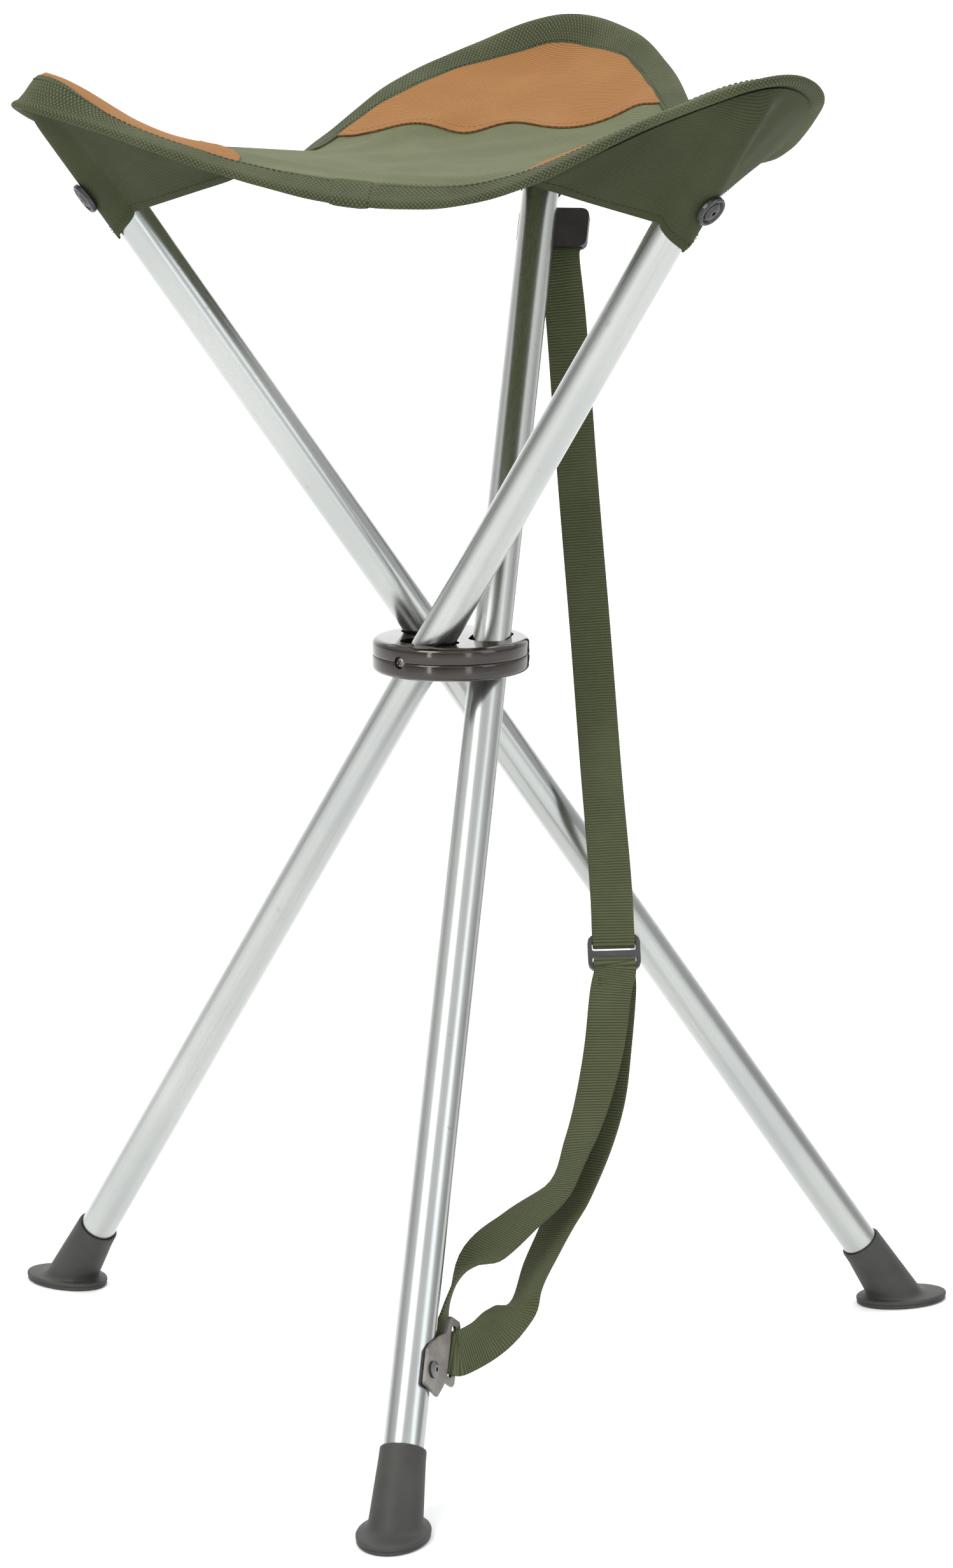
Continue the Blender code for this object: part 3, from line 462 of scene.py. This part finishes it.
def fold(x, y, start, end, width, height):
    """A soft ridge of cloth along a line between two plan points."""
    ax, ay = start
    dx, dy = end[0] - ax, end[1] - ay
    t = ((x - ax) * dx + (y - ay) * dy) / (dx * dx + dy * dy)
    if not 0 < t < 1:
        return 0.0
    away = abs((x - ax) * dy - (y - ay) * dx) / hypot(dx, dy) / width
    return height * sin(pi * t) ** 0.7 * exp(-away * away)


FOLDS = (
    ((-150, -50), (95, -128), 8, 2.4),
    ((-120, -20), (60, -60), 20, -2.0),
    ((-150, 0), (20, 130), 10, 2.2),
    ((100, -90), (95, 110), 10, 2.2),
    ((-60, 40), (70, 60), 15, 2.1),
    ((-20, 150), (90, 30), 12, 1.7),
    ((40, 160), (-60, -60), 13, -1.8),
)


def seat_height(x, y):
    z, q = bowl(x, y)
    for side in SIDES:
        top = TOPS[side]
        near = ((x - top.x) ** 2 + (y - top.y) ** 2) / CORNER_SPREAD**2
        z += PRESS[side] * exp(-near) * (1 - ease((q - 0.93) / 0.07))
        along = BEARING[side].x * x + BEARING[side].y * y
        across = BEARING[side].x * y - BEARING[side].y * x
        band = exp(-(((along - HEM_AT[side]) / 20) ** 2)) * (1 - ease((q - 0.8) / 0.12))
        z += 1.5 * band * sin(across / 10.5 + along / 40)
    inside = 1 - ease((q - 0.82) / 0.1)
    if inside > 0:
        z += inside * sum(fold(x, y, *f) for f in FOLDS)
    return z


def on_seat(x, y, offset=0.0):
    place, normal = seat_place(x, y)
    return place + normal * offset


def seat_place(x, y):
    d = 1.0
    slope_x = (seat_height(x + d, y) - seat_height(x - d, y)) / (2 * d)
    slope_y = (seat_height(x, y + d) - seat_height(x, y - d)) / (2 * d)
    return Vector((x, y, seat_height(x, y))), Vector((-slope_x, -slope_y, 1)).normalized()


def rim_point(azimuth):
    reach = outline(azimuth)[0]
    return Vector((reach * cos(radians(azimuth)), reach * sin(radians(azimuth)), 0))


def inward(azimuth):
    run = rim_point(azimuth + 0.6) - rim_point(azimuth - 0.6)
    return Vector((-run.y, run.x, 0)).normalized()


def band_point(azimuth, inset, offset):
    rim, into = rim_point(azimuth), inward(azimuth)
    if inset >= 0:
        at = rim + into * inset
        return on_seat(at.x, at.y, offset)
    inner = rim + into * 1.5
    edge = on_seat(rim.x, rim.y, offset)
    run = (edge - on_seat(inner.x, inner.y, offset)).normalized()
    return edge - run * inset


def azimuths(side, step):
    """Azimuths across a sector with about equal steps along the outline."""
    start, end = SECTORS[side]
    spans = 600
    fine = [start + (end - start) * i / spans for i in range(spans + 1)]
    run = run_along([rim_point(a) for a in fine])
    count = max(8, round(run[-1] / step))
    found = []
    k = 0
    for i in range(count + 1):
        want = run[-1] * i / count
        while k < spans - 1 and run[k + 1] < want:
            k += 1
        share = (want - run[k]) / (run[k + 1] - run[k])
        found.append((fine[k] + share * (end - start) / spans, want))
    return found


def follow(obj, side):
    """Bakes the piece's placement into its points; the span from the hub to the leg at its corner is worked
    out but not used.
    """
    at, out, outer, up = leg_axes(side)
    start, end = ((HUB_AT + at + outer * d) * MM for d in BLEND_SPAN)
    tuple(start)
    tuple(end)
    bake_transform(obj)


def canvas_sector(side):
    rows, normals, uvs = [], [], []
    shares = [0.0, 0.02, 0.045, 0.07, 0.095] + [0.12 + 0.88 * (k / 40) for k in range(40)]
    for azimuth, _ in azimuths(side, 4.5):
        rim = rim_point(azimuth)
        line = [rim * (1 - s) for s in shares] + [rim * 0.004]
        spots = [seat_place(p.x, p.y) for p in line]
        rows.append([p for p, v in spots])
        normals.append([v for p, v in spots])
        uvs.append([(p.x * MM, p.y * MM) for p in line])
    cloth_piece = sheet(f"seat_canvas_{side}", "canvas", rows, normals, uvs, CANVAS_T)
    follow(cloth_piece, side)
    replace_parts(cloth_piece, "seat_panel")


def tape_sector(side):
    section = [(TAPE_W, 0.95), (TAPE_W, 1.75), (TAPE_W - 1.5, 2.15), (9, 2.2), (6, 2.3), (3, 2.35),
               (1, 2.25), (-0.7, 1.75), (-1.6, 0.9), (-1.9, 0), (-1.6, -0.9), (-0.7, -1.75), (1, -2.25),
               (3, -2.35), (6, -2.3), (9, -2.2), (TAPE_W - 1.5, -2.15), (TAPE_W, -1.75),
               (TAPE_W, -0.95), (6, -0.9), (0.5, -0.9), (0.5, 0.9), (6, 0.9)]
    across = [0.0]
    for a, b in zip(section, section[1:]):
        across.append(across[-1] + hypot(b[0] - a[0], b[1] - a[1]))
    points, uvs, path, under, lift, sink = [], [], [], [], [], []
    steps = azimuths(side, 3.0)
    for azimuth, run in steps:
        swell = 1 + 0.05 * sin(run / 11) + 0.04 * sin(run / 4.3 + 1)
        for (d, h), v in zip(section, across):
            points.append(band_point(azimuth, d, h * swell if abs(h) > 1 else h))
            uvs.append((run * MM, v * MM))
        p = rim_point(azimuth) + inward(azimuth) * (TAPE_W - 1.9)
        place, normal = seat_place(p.x, p.y)
        path.append(place + normal * 2.2)
        under.append(place - normal * 2.2)
        lift.append(normal)
        sink.append(-normal)
    tape = surface(f"edge_tape_{side}", "tape", points, lofted(len(steps), len(section)), None, uvs)
    crease(tape, 55)
    follow(tape, side)
    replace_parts(tape, "edge_binding")
    if side == "left":
        tape_lap(steps, section, across)
    # These stitch rows are drawn in the dark thread, whose dark dots are painted shade of the stitch holes.
    for name, line, way in (("top", path, lift), ("under", under, sink)):
        thread = stitches(f"tape_stitches_{name}_{side}", "thread", line, way, 2.9, 1.9, 0.3)
        follow(thread, side)


def tape_lap(steps, section, across):
    """Where the tape's two ends meet in the front edge, one end is lapped over the other."""
    near = [s for s in steps if 243.0 <= s[0] <= 252.5]
    outer = section[1:18]
    points, uvs = [], []
    for k, (azimuth, run) in enumerate(near):
        lift = 0.75 if 0 < k < len(near) - 1 else 0.35
        for (d, h), v in zip(outer, across[1:18]):
            outside = abs(h) > 0.8 or d < 0
            out = Vector((min(d, 0.0), h)).normalized() * lift if outside else Vector((0, 0))
            points.append(band_point(azimuth, d + (out.x if d < 1 else 0), h + out.y))
            uvs.append(((run + 3) * MM, v * MM))
        for (d, h), v in zip(reversed(outer), reversed(across[1:18])):
            points.append(band_point(azimuth, d, h * 0.8))
            uvs.append(((run + 3) * MM, v * MM))
    lap = surface("edge_tape_lap", "tape", points, lofted(len(near), 2 * len(outer)), None, uvs)
    crease(lap, 55)
    follow(lap, "left")


def hem_line(side, across):
    return HEM_AT[side] + 3.4 * sin(across / 15 + 0.6) + 1.6 * sin(across / 6.9 + AZIMUTH[side])


def patch_grid(side):
    """Plan rows over a corner facing: each row runs from the hem to the tape's inner edge."""
    bearing = BEARING[side]
    sideways = Vector((-bearing.y, bearing.x, 0))
    middle = degrees(atan2(bearing.y, bearing.x))
    border = []
    for k in range(-300, 301):
        azimuth = middle + k * 0.2
        p = rim_point(azimuth) + inward(azimuth) * (TAPE_W - 1.0)
        if p.dot(bearing) >= hem_line(side, p.dot(sideways)):
            border.append(p)
    widths = [p.dot(sideways) for p in border]
    low, high = widths[0], widths[-1]
    if low > high:
        low, high = high, low
        border.reverse()
        widths.reverse()
    run = run_along(border)
    rows = []
    count = 56
    for i in range(count + 1):
        want = run[-1] * i / count
        k = max(j for j in range(len(run) - 1) if run[j] <= want)
        share = (want - run[k]) / (run[k + 1] - run[k])
        far = border[k].lerp(border[k + 1], share)
        foot_across = low + (high - low) * i / count
        near = bearing * hem_line(side, foot_across) + sideways * foot_across
        rows.append([near.lerp(far, j / 26) for j in range(27)])
    return rows


def patch(side):
    plan = patch_grid(side)
    spots = [[seat_place(p.x, p.y) for p in row] for row in plan]
    rows = [[p for p, v in line] for line in spots]
    normals = [[v for p, v in line] for line in spots]
    uvs = [[(p.x * MM, p.y * MM) for p in row] for row in plan]
    rise = CANVAS_T / 2 + 0.75
    facing = sheet(f"corner_facing_{side}", "patch", rows, normals, uvs, 0.8, rise)
    follow(facing, side)
    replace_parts(facing, f"corner_patch_{side}")
    line = [row[0] + BEARING[side] * 6.0 for row in plan[1:-1]]
    spots = [seat_place(p.x, p.y) for p in line]
    path = [p + v * (rise + 0.42) for p, v in spots]
    lift = [v for p, v in spots]
    thread = stitches(f"facing_stitches_{side}", "tan_thread", path, lift, 3.4, 2.4, 0.32)
    follow(thread, side)


def reach_azimuth(side, sign):
    bearing = BEARING[side]
    azimuth = degrees(atan2(bearing.y, bearing.x))
    while (rim_point(azimuth) + inward(azimuth) * 6).dot(bearing) > POCKET_REACH:
        azimuth += sign * 0.25
    return azimuth


def pocket(side):
    at, out, outer, up = leg_axes(side)
    centre = degrees(atan2(BEARING[side].y, BEARING[side].x))
    ends = {1: reach_azimuth(side, 1), -1: reach_azimuth(side, -1)}
    below = -3.1
    across, down = 72, 24
    rows = []
    for i in range(across + 1):
        u = 2 * i / across - 1
        way = 1 if u >= 0 else -1
        share = abs(u)
        azimuth = centre + (ends[way] - centre) * share**1.15
        seam = band_point(azimuth, 3.5 + 5.5 * share, below)
        wrap = ease(share / 0.3) if share < 0.3 else 1.0
        turn = radians(90 * wrap)
        round_leg = at + up * (POCKET_HEM + 9 * min(share / 0.3, 1.0))
        sideways = outer * cos(turn) - out * way * sin(turn)
        hem = round_leg + sideways * 11.3
        if share > 0.3:
            far = band_point(ends[way], 9.0, below - 3.0)
            hem = hem.lerp(far, (share - 0.3) / 0.7)
        station = min(341.0, (seam - at).dot(up) - 10)
        shoulder = at + up * station + sideways * 11.9
        shoulder = shoulder.lerp(seam.lerp(hem, 0.18), ease((share - 0.08) / 0.25))
        line = []
        for j in range(down + 1):
            t = j / down
            if t < 0.25:
                s = t / 0.25
                line.append(seam.lerp(shoulder, s))
            else:
                line.append(shoulder.lerp(hem, (t - 0.25) / 0.75))
        soft = list(line)
        for _ in range(2):
            between = [(a + b * 2 + c) / 4 for a, b, c in zip(soft, soft[1:], soft[2:])]
            soft = [soft[0]] + between + [soft[-1]]
        rows.append(soft)
    normals = grid_normals(rows, outer)
    # Slack cloth: shallow ripples that die out towards the seam, the hem and the leg.
    for i, line in enumerate(rows):
        share = abs(2 * i / across - 1)
        for j in range(len(line)):
            t = j / down
            slack = sin(pi * t) * ease((share - 0.2) / 0.3) * ease((1 - share) / 0.15)
            line[j] = line[j] + normals[i][j] * (0.9 * slack * sin(i / 3.1 + j / 6.0))
    normals = grid_normals(rows, outer)
    uvs = []
    for line in rows:
        uvs.append([((p - at).dot(out) * MM, ((p - at).dot(up)) * MM) for p in line])
    cloth_piece = sheet(f"pocket_cloth_{side}", "pocket", rows, normals, uvs, 1.2)
    follow(cloth_piece, side)
    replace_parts(cloth_piece, f"corner_pocket_{side}")
    stitch = [walk(line[::-1], 3.9) + ways[-1] * 0.95 for line, ways in zip(rows, normals)]
    stitch_normals = [ways[-1] for ways in normals]
    thread = stitches(f"pocket_stitches_{side}", "thread", stitch, stitch_normals, 2.8, 1.9, 0.24)
    follow(thread, side)


def walk(line, want):
    """The point a given way along a line of points."""
    for a, b in zip(line, line[1:]):
        step = (b - a).length
        if step >= want:
            return a.lerp(b, want / step if step else 0)
        want -= step
    return line[-1]


# ---------------------------------------------------------------- legs, feet and hub
def leg(side):
    at, out, outer, up = leg_axes(side)

    def place(x, y, z):
        return at + out * x + outer * y + up * z

    profile = [(TUBE_R - 0.4, TUBE_TOP), (TUBE_R - 0.1, TUBE_TOP - 0.3), (TUBE_R, TUBE_TOP - 0.8)]
    profile += [(TUBE_R, TUBE_TOP - 0.8 - 38.45 * k) for k in range(1, 20)]
    profile += [(TUBE_R, TUBE_END + 0.8), (TUBE_R - 0.1, TUBE_END + 0.3), (TUBE_R - 0.4, TUBE_END)]
    profile += [(TUBE_BORE_R + 0.2, TUBE_END), (TUBE_BORE_R, TUBE_END + 0.4)]
    profile += [(TUBE_BORE_R, TUBE_TOP - 0.6), (TUBE_BORE_R + 0.3, TUBE_TOP)]
    tube = turned(f"tube_{side}", "aluminium", profile, place, 96, True)
    crease(tube, 40)
    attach(tube, f"leg_{side}")
    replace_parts(tube, f"leg_tube_{side}")


def foot(side):
    at, out, outer, up = leg_axes(side)
    reach = HUB_AT.z / up.z
    lean = Vector((up.x, up.y, 0)).normalized()
    centre = at - up * reach
    n = 96
    rings = []

    def flat_ring(a, b, z, shift=0.0):
        rings.append([centre + out * (a * cos(t)) + lean * (b * sin(t) + shift) + Vector((0, 0, z))
                      for t in (2 * pi * k / n for k in range(n))])

    def square_ring(radius, station):
        rings.append([at + up * station + out * (radius * cos(t)) + outer * (radius * sin(t))
                      for t in (2 * pi * k / n for k in range(n))])

    square_ring(9.65, -424.0)
    square_ring(9.65, -410.4)
    square_ring(9.85, -410.0)
    square_ring(10.75, -410.0)
    square_ring(11.0, -410.4)
    square_ring(11.05, -412.5)
    square_ring(11.15, -416.0)
    high = [p.copy() for p in rings[-1]]
    low = [centre + out * (12.7 * cos(t)) + lean * (15.4 * sin(t) + 5.2) + Vector((0, 0, 6.6))
           for t in (2 * pi * k / n for k in range(n))]
    for k in range(1, 9):
        s = k / 8
        rings.append([a.lerp(b, s) for a, b in zip(high, low)])
    for a, b, z, shift in ((13.1, 15.9, 5.2, 4.0), (13.9, 17.3, 4.4, 2.6), (15.0, 20.0, 4.05, 1.0),
                           (16.0, 23.6, 3.9, 0), (16.9, 24.9, 3.6, 0), (17.2, 25.2, 3.0, 0),
                           (17.2, 25.2, 2.2, 0), (16.5, 24.5, 1.9, 0), (16.5, 24.5, 1.5, 0),
                           (16.9, 24.9, 1.1, 0), (16.9, 24.9, 0.4, 0), (16.4, 24.4, 0.02, 0)):
        flat_ring(a, b, z, shift)
    points = [p for ring in rings for p in ring]
    uvs = [(p.x * MM, p.z * MM) for p in points]
    boot = surface(f"rubber_foot_{side}", "rubber", points, lofted(len(rings), n), None, uvs)
    crease(boot, 50)
    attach(boot, f"leg_{side}")
    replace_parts(boot, f"foot_{side}")


def prism(name, outline_points, low, high, place):
    n = len(outline_points)
    points = [place(x, y, z) for z in (low, high) for x, y in outline_points]
    faces = [tuple(range(n))[::-1], tuple(range(n, 2 * n))]
    faces += [(i, (i + 1) % n, n + (i + 1) % n, n + i) for i in range(n)]
    return surface(name, "hub", points, faces)


def cut(obj, tool):
    step = obj.modifiers.new("cut", "BOOLEAN")
    step.object = tool
    step.operation = "DIFFERENCE"
    step.solver = "EXACT"
    bpy.context.view_layer.update()
    shape = bpy.data.meshes.new_from_object(obj.evaluated_get(bpy.context.evaluated_depsgraph_get()))
    obj.modifiers.clear()
    obj.data = shape
    bpy.data.objects.remove(tool)


def arc(cx, cy, radius, start, end, steps):
    turns = [radians(start + (end - start) * i / steps) for i in range(steps + 1)]
    return [(cx + radius * cos(a), cy + radius * sin(a)) for a in turns]


def rounded(width, height, radius, cx=0.0, cy=0.0, steps=6):
    x, y = width / 2 - radius, height / 2 - radius
    line = []
    for sx, sy, start in ((1, 1, 0), (-1, 1, 90), (-1, -1, 180), (1, -1, 270)):
        line += arc(cx + sx * x, cy + sy * y, radius, start, start + 90, steps)
    return line


def hub_half(name, sign):
    profile = [(0.5, 8.4), (36.0, 8.4)] + [(36.4 + 3 * sin(a), 5.4 + 3 * cos(a))
                                           for a in (radians(10 * k) for k in range(1, 10))]
    profile += [(39.4, 1.0), (39.3, 0.5), (39.0, 0.15), (0.5, 0.15)]
    half = turned(f"{name}_shell", "hub", [(r, z * sign) for r, z in profile],
                  lambda x, y, z: Vector((x, y, z)), 128)
    for side in SIDES:
        at, out, outer, up = leg_axes(side)
        across = Vector((0, 0, 1)).cross(out)
        ends = (18.4, -12.0) if sign > 0 else (12.0, -18.4)
        slot = rounded(20.2, ends[0] - ends[1], 8.0, 0, (ends[0] + ends[1]) / 2)
        cut(half, prism("slot", slot, -12, 12, lambda x, y, z: at + out * x + across * y + Vector((0, 0, z))))
        cut(half, prism("head", arc(0, 0, 3.1, 0, 350, 35), 17.2, 30,
                        lambda x, y, z: at + out * z + across * x + Vector((0, 0, y))))
    crease(half, 32)
    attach(half, "hub")
    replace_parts(half, name)


# ---------------------------------------------------------------- the carry strap
WEB_W = 21.0
WEB_T = 1.5
SLIDER_AT = Vector((80.7, -22.0, -149.0))
BRACKET_TURN = -17.0


def spline(points, per_span):
    curve = []
    for i in range(len(points) - 1):
        rows = [points[min(max(i + k, 0), len(points) - 1)] for k in (-1, 0, 1, 2)]
        for step in range(per_span):
            t = step / per_span
            weights = ((-t + 2 * t**2 - t**3) / 2, (2 - 5 * t**2 + 3 * t**3) / 2,
                       (t + 4 * t**2 - 3 * t**3) / 2, (t**3 - t**2) / 2)
            curve.append([sum(w * r[c] for w, r in zip(weights, rows)) for c in range(len(rows[0]))])
    curve.append(list(points[-1]))
    return curve


def ribbon(name, controls, per_span):
    curve = spline(controls, per_span)
    places = [Vector(row[:3]) for row in curve]
    section = [(1, 0.5), (0.97, 0.85), (0.9, 1), (0.45, 1), (0, 1), (-0.45, 1), (-0.9, 1), (-0.97, 0.85),
               (-1, 0.5), (-1, -0.5), (-0.97, -0.85), (-0.9, -1), (-0.45, -1), (0, -1), (0.45, -1),
               (0.9, -1), (0.97, -0.85), (1, -0.5)]
    points, uvs = [], []
    run = 0.0
    for i, row in enumerate(curve):
        along = (places[min(i + 1, len(places) - 1)] - places[max(i - 1, 0)]).normalized()
        wide = Vector(row[3:])
        wide = (wide - along * wide.dot(along)).normalized()
        face = along.cross(wide)
        if i:
            run += (places[i] - places[i - 1]).length
        for a, b in section:
            points.append(places[i] + wide * (a * WEB_W / 2) + face * (b * WEB_T / 2))
            uvs.append((a * WEB_W / 2 * MM, run * MM))
    strap = surface(name, "webbing", points, lofted(len(places), len(section)), None, uvs)
    crease(strap, 60)
    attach(strap, "leg_rear")
    return strap


def slider_frame():
    up = Vector((-0.03, 0.55, 0.835)).normalized()
    across = Vector((1, 0.03, 0)).normalized()
    across = (across - up * across.dot(up)).normalized()
    return across, up, across.cross(up)


def at_slider(y, z):
    across, up, front = slider_frame()
    return SLIDER_AT + up * y + front * z


def row(place, wide=(1, 0, 0)):
    return (*place, *wide)


def bracket_row(x, y, station, wx, wy, ws):
    at, out, outer, up = leg_axes("rear")
    a = radians(BRACKET_TURN)
    plate = out * cos(a) + outer * sin(a)
    off = outer * cos(a) - out * sin(a)
    return (*(at + plate * x + off * y + up * station), *(plate * wx + off * wy + up * ws))


def straps():
    at, out, outer, up = leg_axes("rear")
    mouth = at + up * 241 + out * 11.7 + outer * 12.3
    wide = tuple(slider_frame()[0])
    controls = [row(mouth, out), row(mouth - up * 8 + outer * 0.3, out)]
    controls += [row((61.0, 128.0, 150.0)), row((66.0, 108.0, 75.0)), row((71.5, 72.0, 0.0))]
    controls += [row((76.0, 31.0, -68.0), wide), row(at_slider(40.0, 2.2), wide)]
    wrap = ((10.0, 2.7), (5.6, 2.7), (3.7, 2.0), (3.0, 0.0), (3.7, -2.0), (5.6, -2.7), (10.0, -2.9))
    controls += [row(at_slider(y, z), wide) for y, z in wrap]
    controls += [row(at_slider(40.0, -1.8), wide), row((76.2, 33.8, -69.9), wide)]
    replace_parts(ribbon("carry_webbing", controls, 8), "strap_upper")
    wrap = ((-16.5, -2.9), (-10.0, -2.8), (-6.2, -2.6), (-4.3, -1.9), (-3.9, 0.0))
    wrap += ((-4.3, 1.9), (-6.2, 2.6), (-10.5, 2.7))
    controls = [row(at_slider(y, z), wide) for y, z in wrap]
    # The free strands' rows below, their centres and most of their width directions, were traced from the
    # photo by a scratch script, at depths picked by hand. They weren't chosen by hand.
    controls += [
        (78.3, -41.0, -165.5, 1, -0.2, 0), (74.6, -58.0, -188.4, 0.9, -0.43, 0),
        (68.8, -75.0, -210.0, 0.73, -0.68, -0.05), (61.5, -89.5, -228.5, 0.5, -0.85, -0.1),
        (51.5, -106.0, -246.2, 0.2, -0.97, -0.13), (32.0, -129.0, -256.6, 0.34, -0.89, -0.3),
        (15.7, -149.0, -264.8, 0.53, -0.76, -0.39), bracket_row(5.8, 25.5, -319.0, 0.6, -0.75, 0.1),
        bracket_row(4.0, 21.0, -333.0, 0.45, -0.85, 0.25), bracket_row(2.6, 21.3, -344.0, 0.2, -0.8, 0.3),
        bracket_row(2.4, 20.3, -355.5, 0.1, -0.75, 0.6), bracket_row(3.4, 18.9, -358.2, 0, -0.1, 1),
        bracket_row(5.5, 17.4, -358.5, 0, 0, 1), bracket_row(7.8, 16.8, -358.5, 0, 0, 1),
        bracket_row(10.6, 16.4, -358.5, 0, 0, 1), bracket_row(12.8, 17.9, -358.5, 0, 0, 1),
        bracket_row(13.4, 22.0, -357.0, 0, 0, 1),
        (14.0, -181.0, -300.1, -0.05, 0.5, 0.85), (26.6, -163.0, -294.0, -0.36, 0.85, 0.38),
        (33.7, -150.0, -289.2, -0.3, 0.95, -0.05), (41.4, -130.0, -276.7, -0.42, 0.9, 0.05),
        (50.1, -113.5, -263.8, -0.57, 0.82, 0.05), (58.8, -97.5, -251.6, -0.68, 0.72, 0.13),
        (68.3, -80.5, -231.7, -0.83, 0.5, 0.15), (75.0, -65.5, -212.6, -0.9, 0.4, 0.05),
        (78.3, -50.0, -189.5, -0.97, 0.2, 0),
    ]
    # The loop's end is lapped behind its own tail; two rows of stitches are set over the front strand.
    controls += [row(at_slider(y, z), tuple(-c for c in wide)) for y, z in ((-19.0, -5.2), (-10.5, -4.6))]
    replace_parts(ribbon("loop_webbing", controls, 6), "strap_loop")
    across, up, front = slider_frame()
    for number, (y, z) in enumerate(((-15.6, 5.0), (-18.4, 5.8))):
        path = [at_slider(y, z) + across * t for t in (-9.4, -4.0, 0.0, 4.0, 9.4)]
        thread = stitches(f"loop_stitches_{number}", "thread", path, [front] * 5, 2.6, 1.8, 0.3)
        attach(thread, "leg_rear")


# ---------------------------------------------------------------- build
for each in SIDES:
    canvas_sector(each)
    tape_sector(each)
    patch(each)
    pocket(each)
    leg(each)
    foot(each)
hub_half("hub_upper", 1)
hub_half("hub_lower", -1)
straps()

KEPT = {"strap_slider": "slider", "strap_top_fitting": "slider", "strap_bracket": "bracket"}
for each in SIDES:
    KEPT[f"leg_plug_{each}"] = "slider"
    KEPT[f"pivot_sleeve_{each}"] = "slider"
    KEPT[f"pivot_screw_{each}"] = "steel"
    KEPT[f"corner_rivet_{each}"] = "gunmetal"
    KEPT[f"cup_washer_{each}"] = "gunmetal"
for part in ("hub_clamp_screw", "hub_clamp_nut", "strap_top_rivet", "strap_bracket_rivet"):
    KEPT[part] = "steel"
for part, look in KEPT.items():
    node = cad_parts[part]
    node.data.materials.clear()
    node.data.materials.append(MATS[look])
for part, width in (("strap_slider", 0.5), ("strap_top_fitting", 0.9), ("strap_bracket", 0.3)):
    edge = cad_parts[part].modifiers.new("edges", "BEVEL")
    edge.width = width * MM
    edge.segments = 3
    edge.limit_method = "ANGLE"
    edge.angle_limit = radians(35)
    edge.harden_normals = False

# ---------------------------------------------------------------- stage, light and camera
backdrop = bpy.data.materials.new("backdrop")
backdrop.use_nodes = True
paper = backdrop.node_tree.nodes["Principled BSDF"]
paper.inputs["Base Color"].default_value = (0.93, 0.93, 0.93, 1)
paper.inputs["Roughness"].default_value = 0.9
floor_mesh = bpy.data.meshes.new("floor")
# A level floor all round, which only turns up into a wall far behind the stool.
bend = [radians(a) for a in range(0, 91, 6)]
sweep = [(-12.0, 0.0)] + [(3.6 + 1.2 * sin(a), 1.2 - 1.2 * cos(a)) for a in bend] + [(4.8, 6.0)]
floor_mesh.from_pydata([(x, y, z - 0.0004) for y, z in sweep for x in (-12.0, 12.0)], [],
                       [(2 * k, 2 * k + 1, 2 * k + 3, 2 * k + 2) for k in range(len(sweep) - 1)])
floor_mesh.polygons.foreach_set("use_smooth", [True] * len(floor_mesh.polygons))
floor_mesh.materials.append(backdrop)
floor = bpy.data.objects.new("floor", floor_mesh)
bpy.context.scene.collection.objects.link(floor)

# A studio that is bright overhead and dimmer round the sides, so the tubes get darker edges.
world = bpy.data.worlds.new("studio")
bpy.context.scene.world = world
world.use_nodes = True
sky = world.node_tree
toward = sky.nodes.new("ShaderNodeTexCoord")
parts = sky.nodes.new("ShaderNodeSeparateXYZ")
height = sky.nodes.new("ShaderNodeMapRange")
height.inputs["From Min"].default_value = -0.05
height.inputs["From Max"].default_value = 0.55
height.inputs["To Min"].default_value = 0.30
height.inputs["To Max"].default_value = 1.05
sky.links.new(toward.outputs["Generated"], parts.inputs[0])
sky.links.new(parts.outputs["Z"], height.inputs["Value"])
sky.links.new(height.outputs[0], sky.nodes["Background"].inputs["Strength"])
sky.nodes["Background"].inputs["Color"].default_value = (1.0, 1.0, 1.0, 1)


def lamp(name, place, aim, size, power, tint=(1, 1, 1)):
    data = bpy.data.lights.new(name, "AREA")
    data.shape = "RECTANGLE"
    data.size, data.size_y = size
    data.energy = power
    data.color = tint
    obj = bpy.data.objects.new(name, data)
    bpy.context.scene.collection.objects.link(obj)
    obj.location = place
    obj.rotation_euler = (Vector(aim) - Vector(place)).to_track_quat("-Z", "Y").to_euler()


lamp("key", (-1.3, -1.5, 2.2), (0, 0, 0.4), (1.2, 1.2), 30)
lamp("fill", (1.9, -1.2, 1.2), (0, 0, 0.4), (0.9, 1.8), 9, (0.92, 0.97, 1))
lamp("top", (0.1, 0.6, 2.4), (0, 0, 0.5), (1.6, 1.6), 24)
lamp("backdrop", (0, 2.9, 3.4), (0, 4.9, 0.8), (7.0, 1.2), 120)
lamp("warm_strip", (-1.2, -1.9, 0.7), (0, 0, 0.35), (0.22, 1.6), 6, (1, 0.94, 0.86))
lamp("cool_strip", (1.0, -2.1, 0.7), (0, 0, 0.35), (0.35, 1.6), 5, (0.86, 0.94, 1))

CAMERA_FROM_HUB = Vector((0, -2411.6, 404.7))
CAMERA_DOWN = 10.76
CAMERA_TURN = -1.82
lens = bpy.data.cameras.new("camera")
lens.sensor_width = 36
lens.lens = 112.4
lens.shift_x = -0.0816
lens.shift_y = -0.0167
camera = bpy.data.objects.new("camera", lens)
bpy.context.scene.collection.objects.link(camera)
camera.location = (HUB_AT + CAMERA_FROM_HUB) * MM
camera.rotation_euler = (radians(90 - CAMERA_DOWN), 0, radians(CAMERA_TURN))
bpy.context.scene.camera = camera
bpy.context.scene.view_settings.view_transform = "Standard"
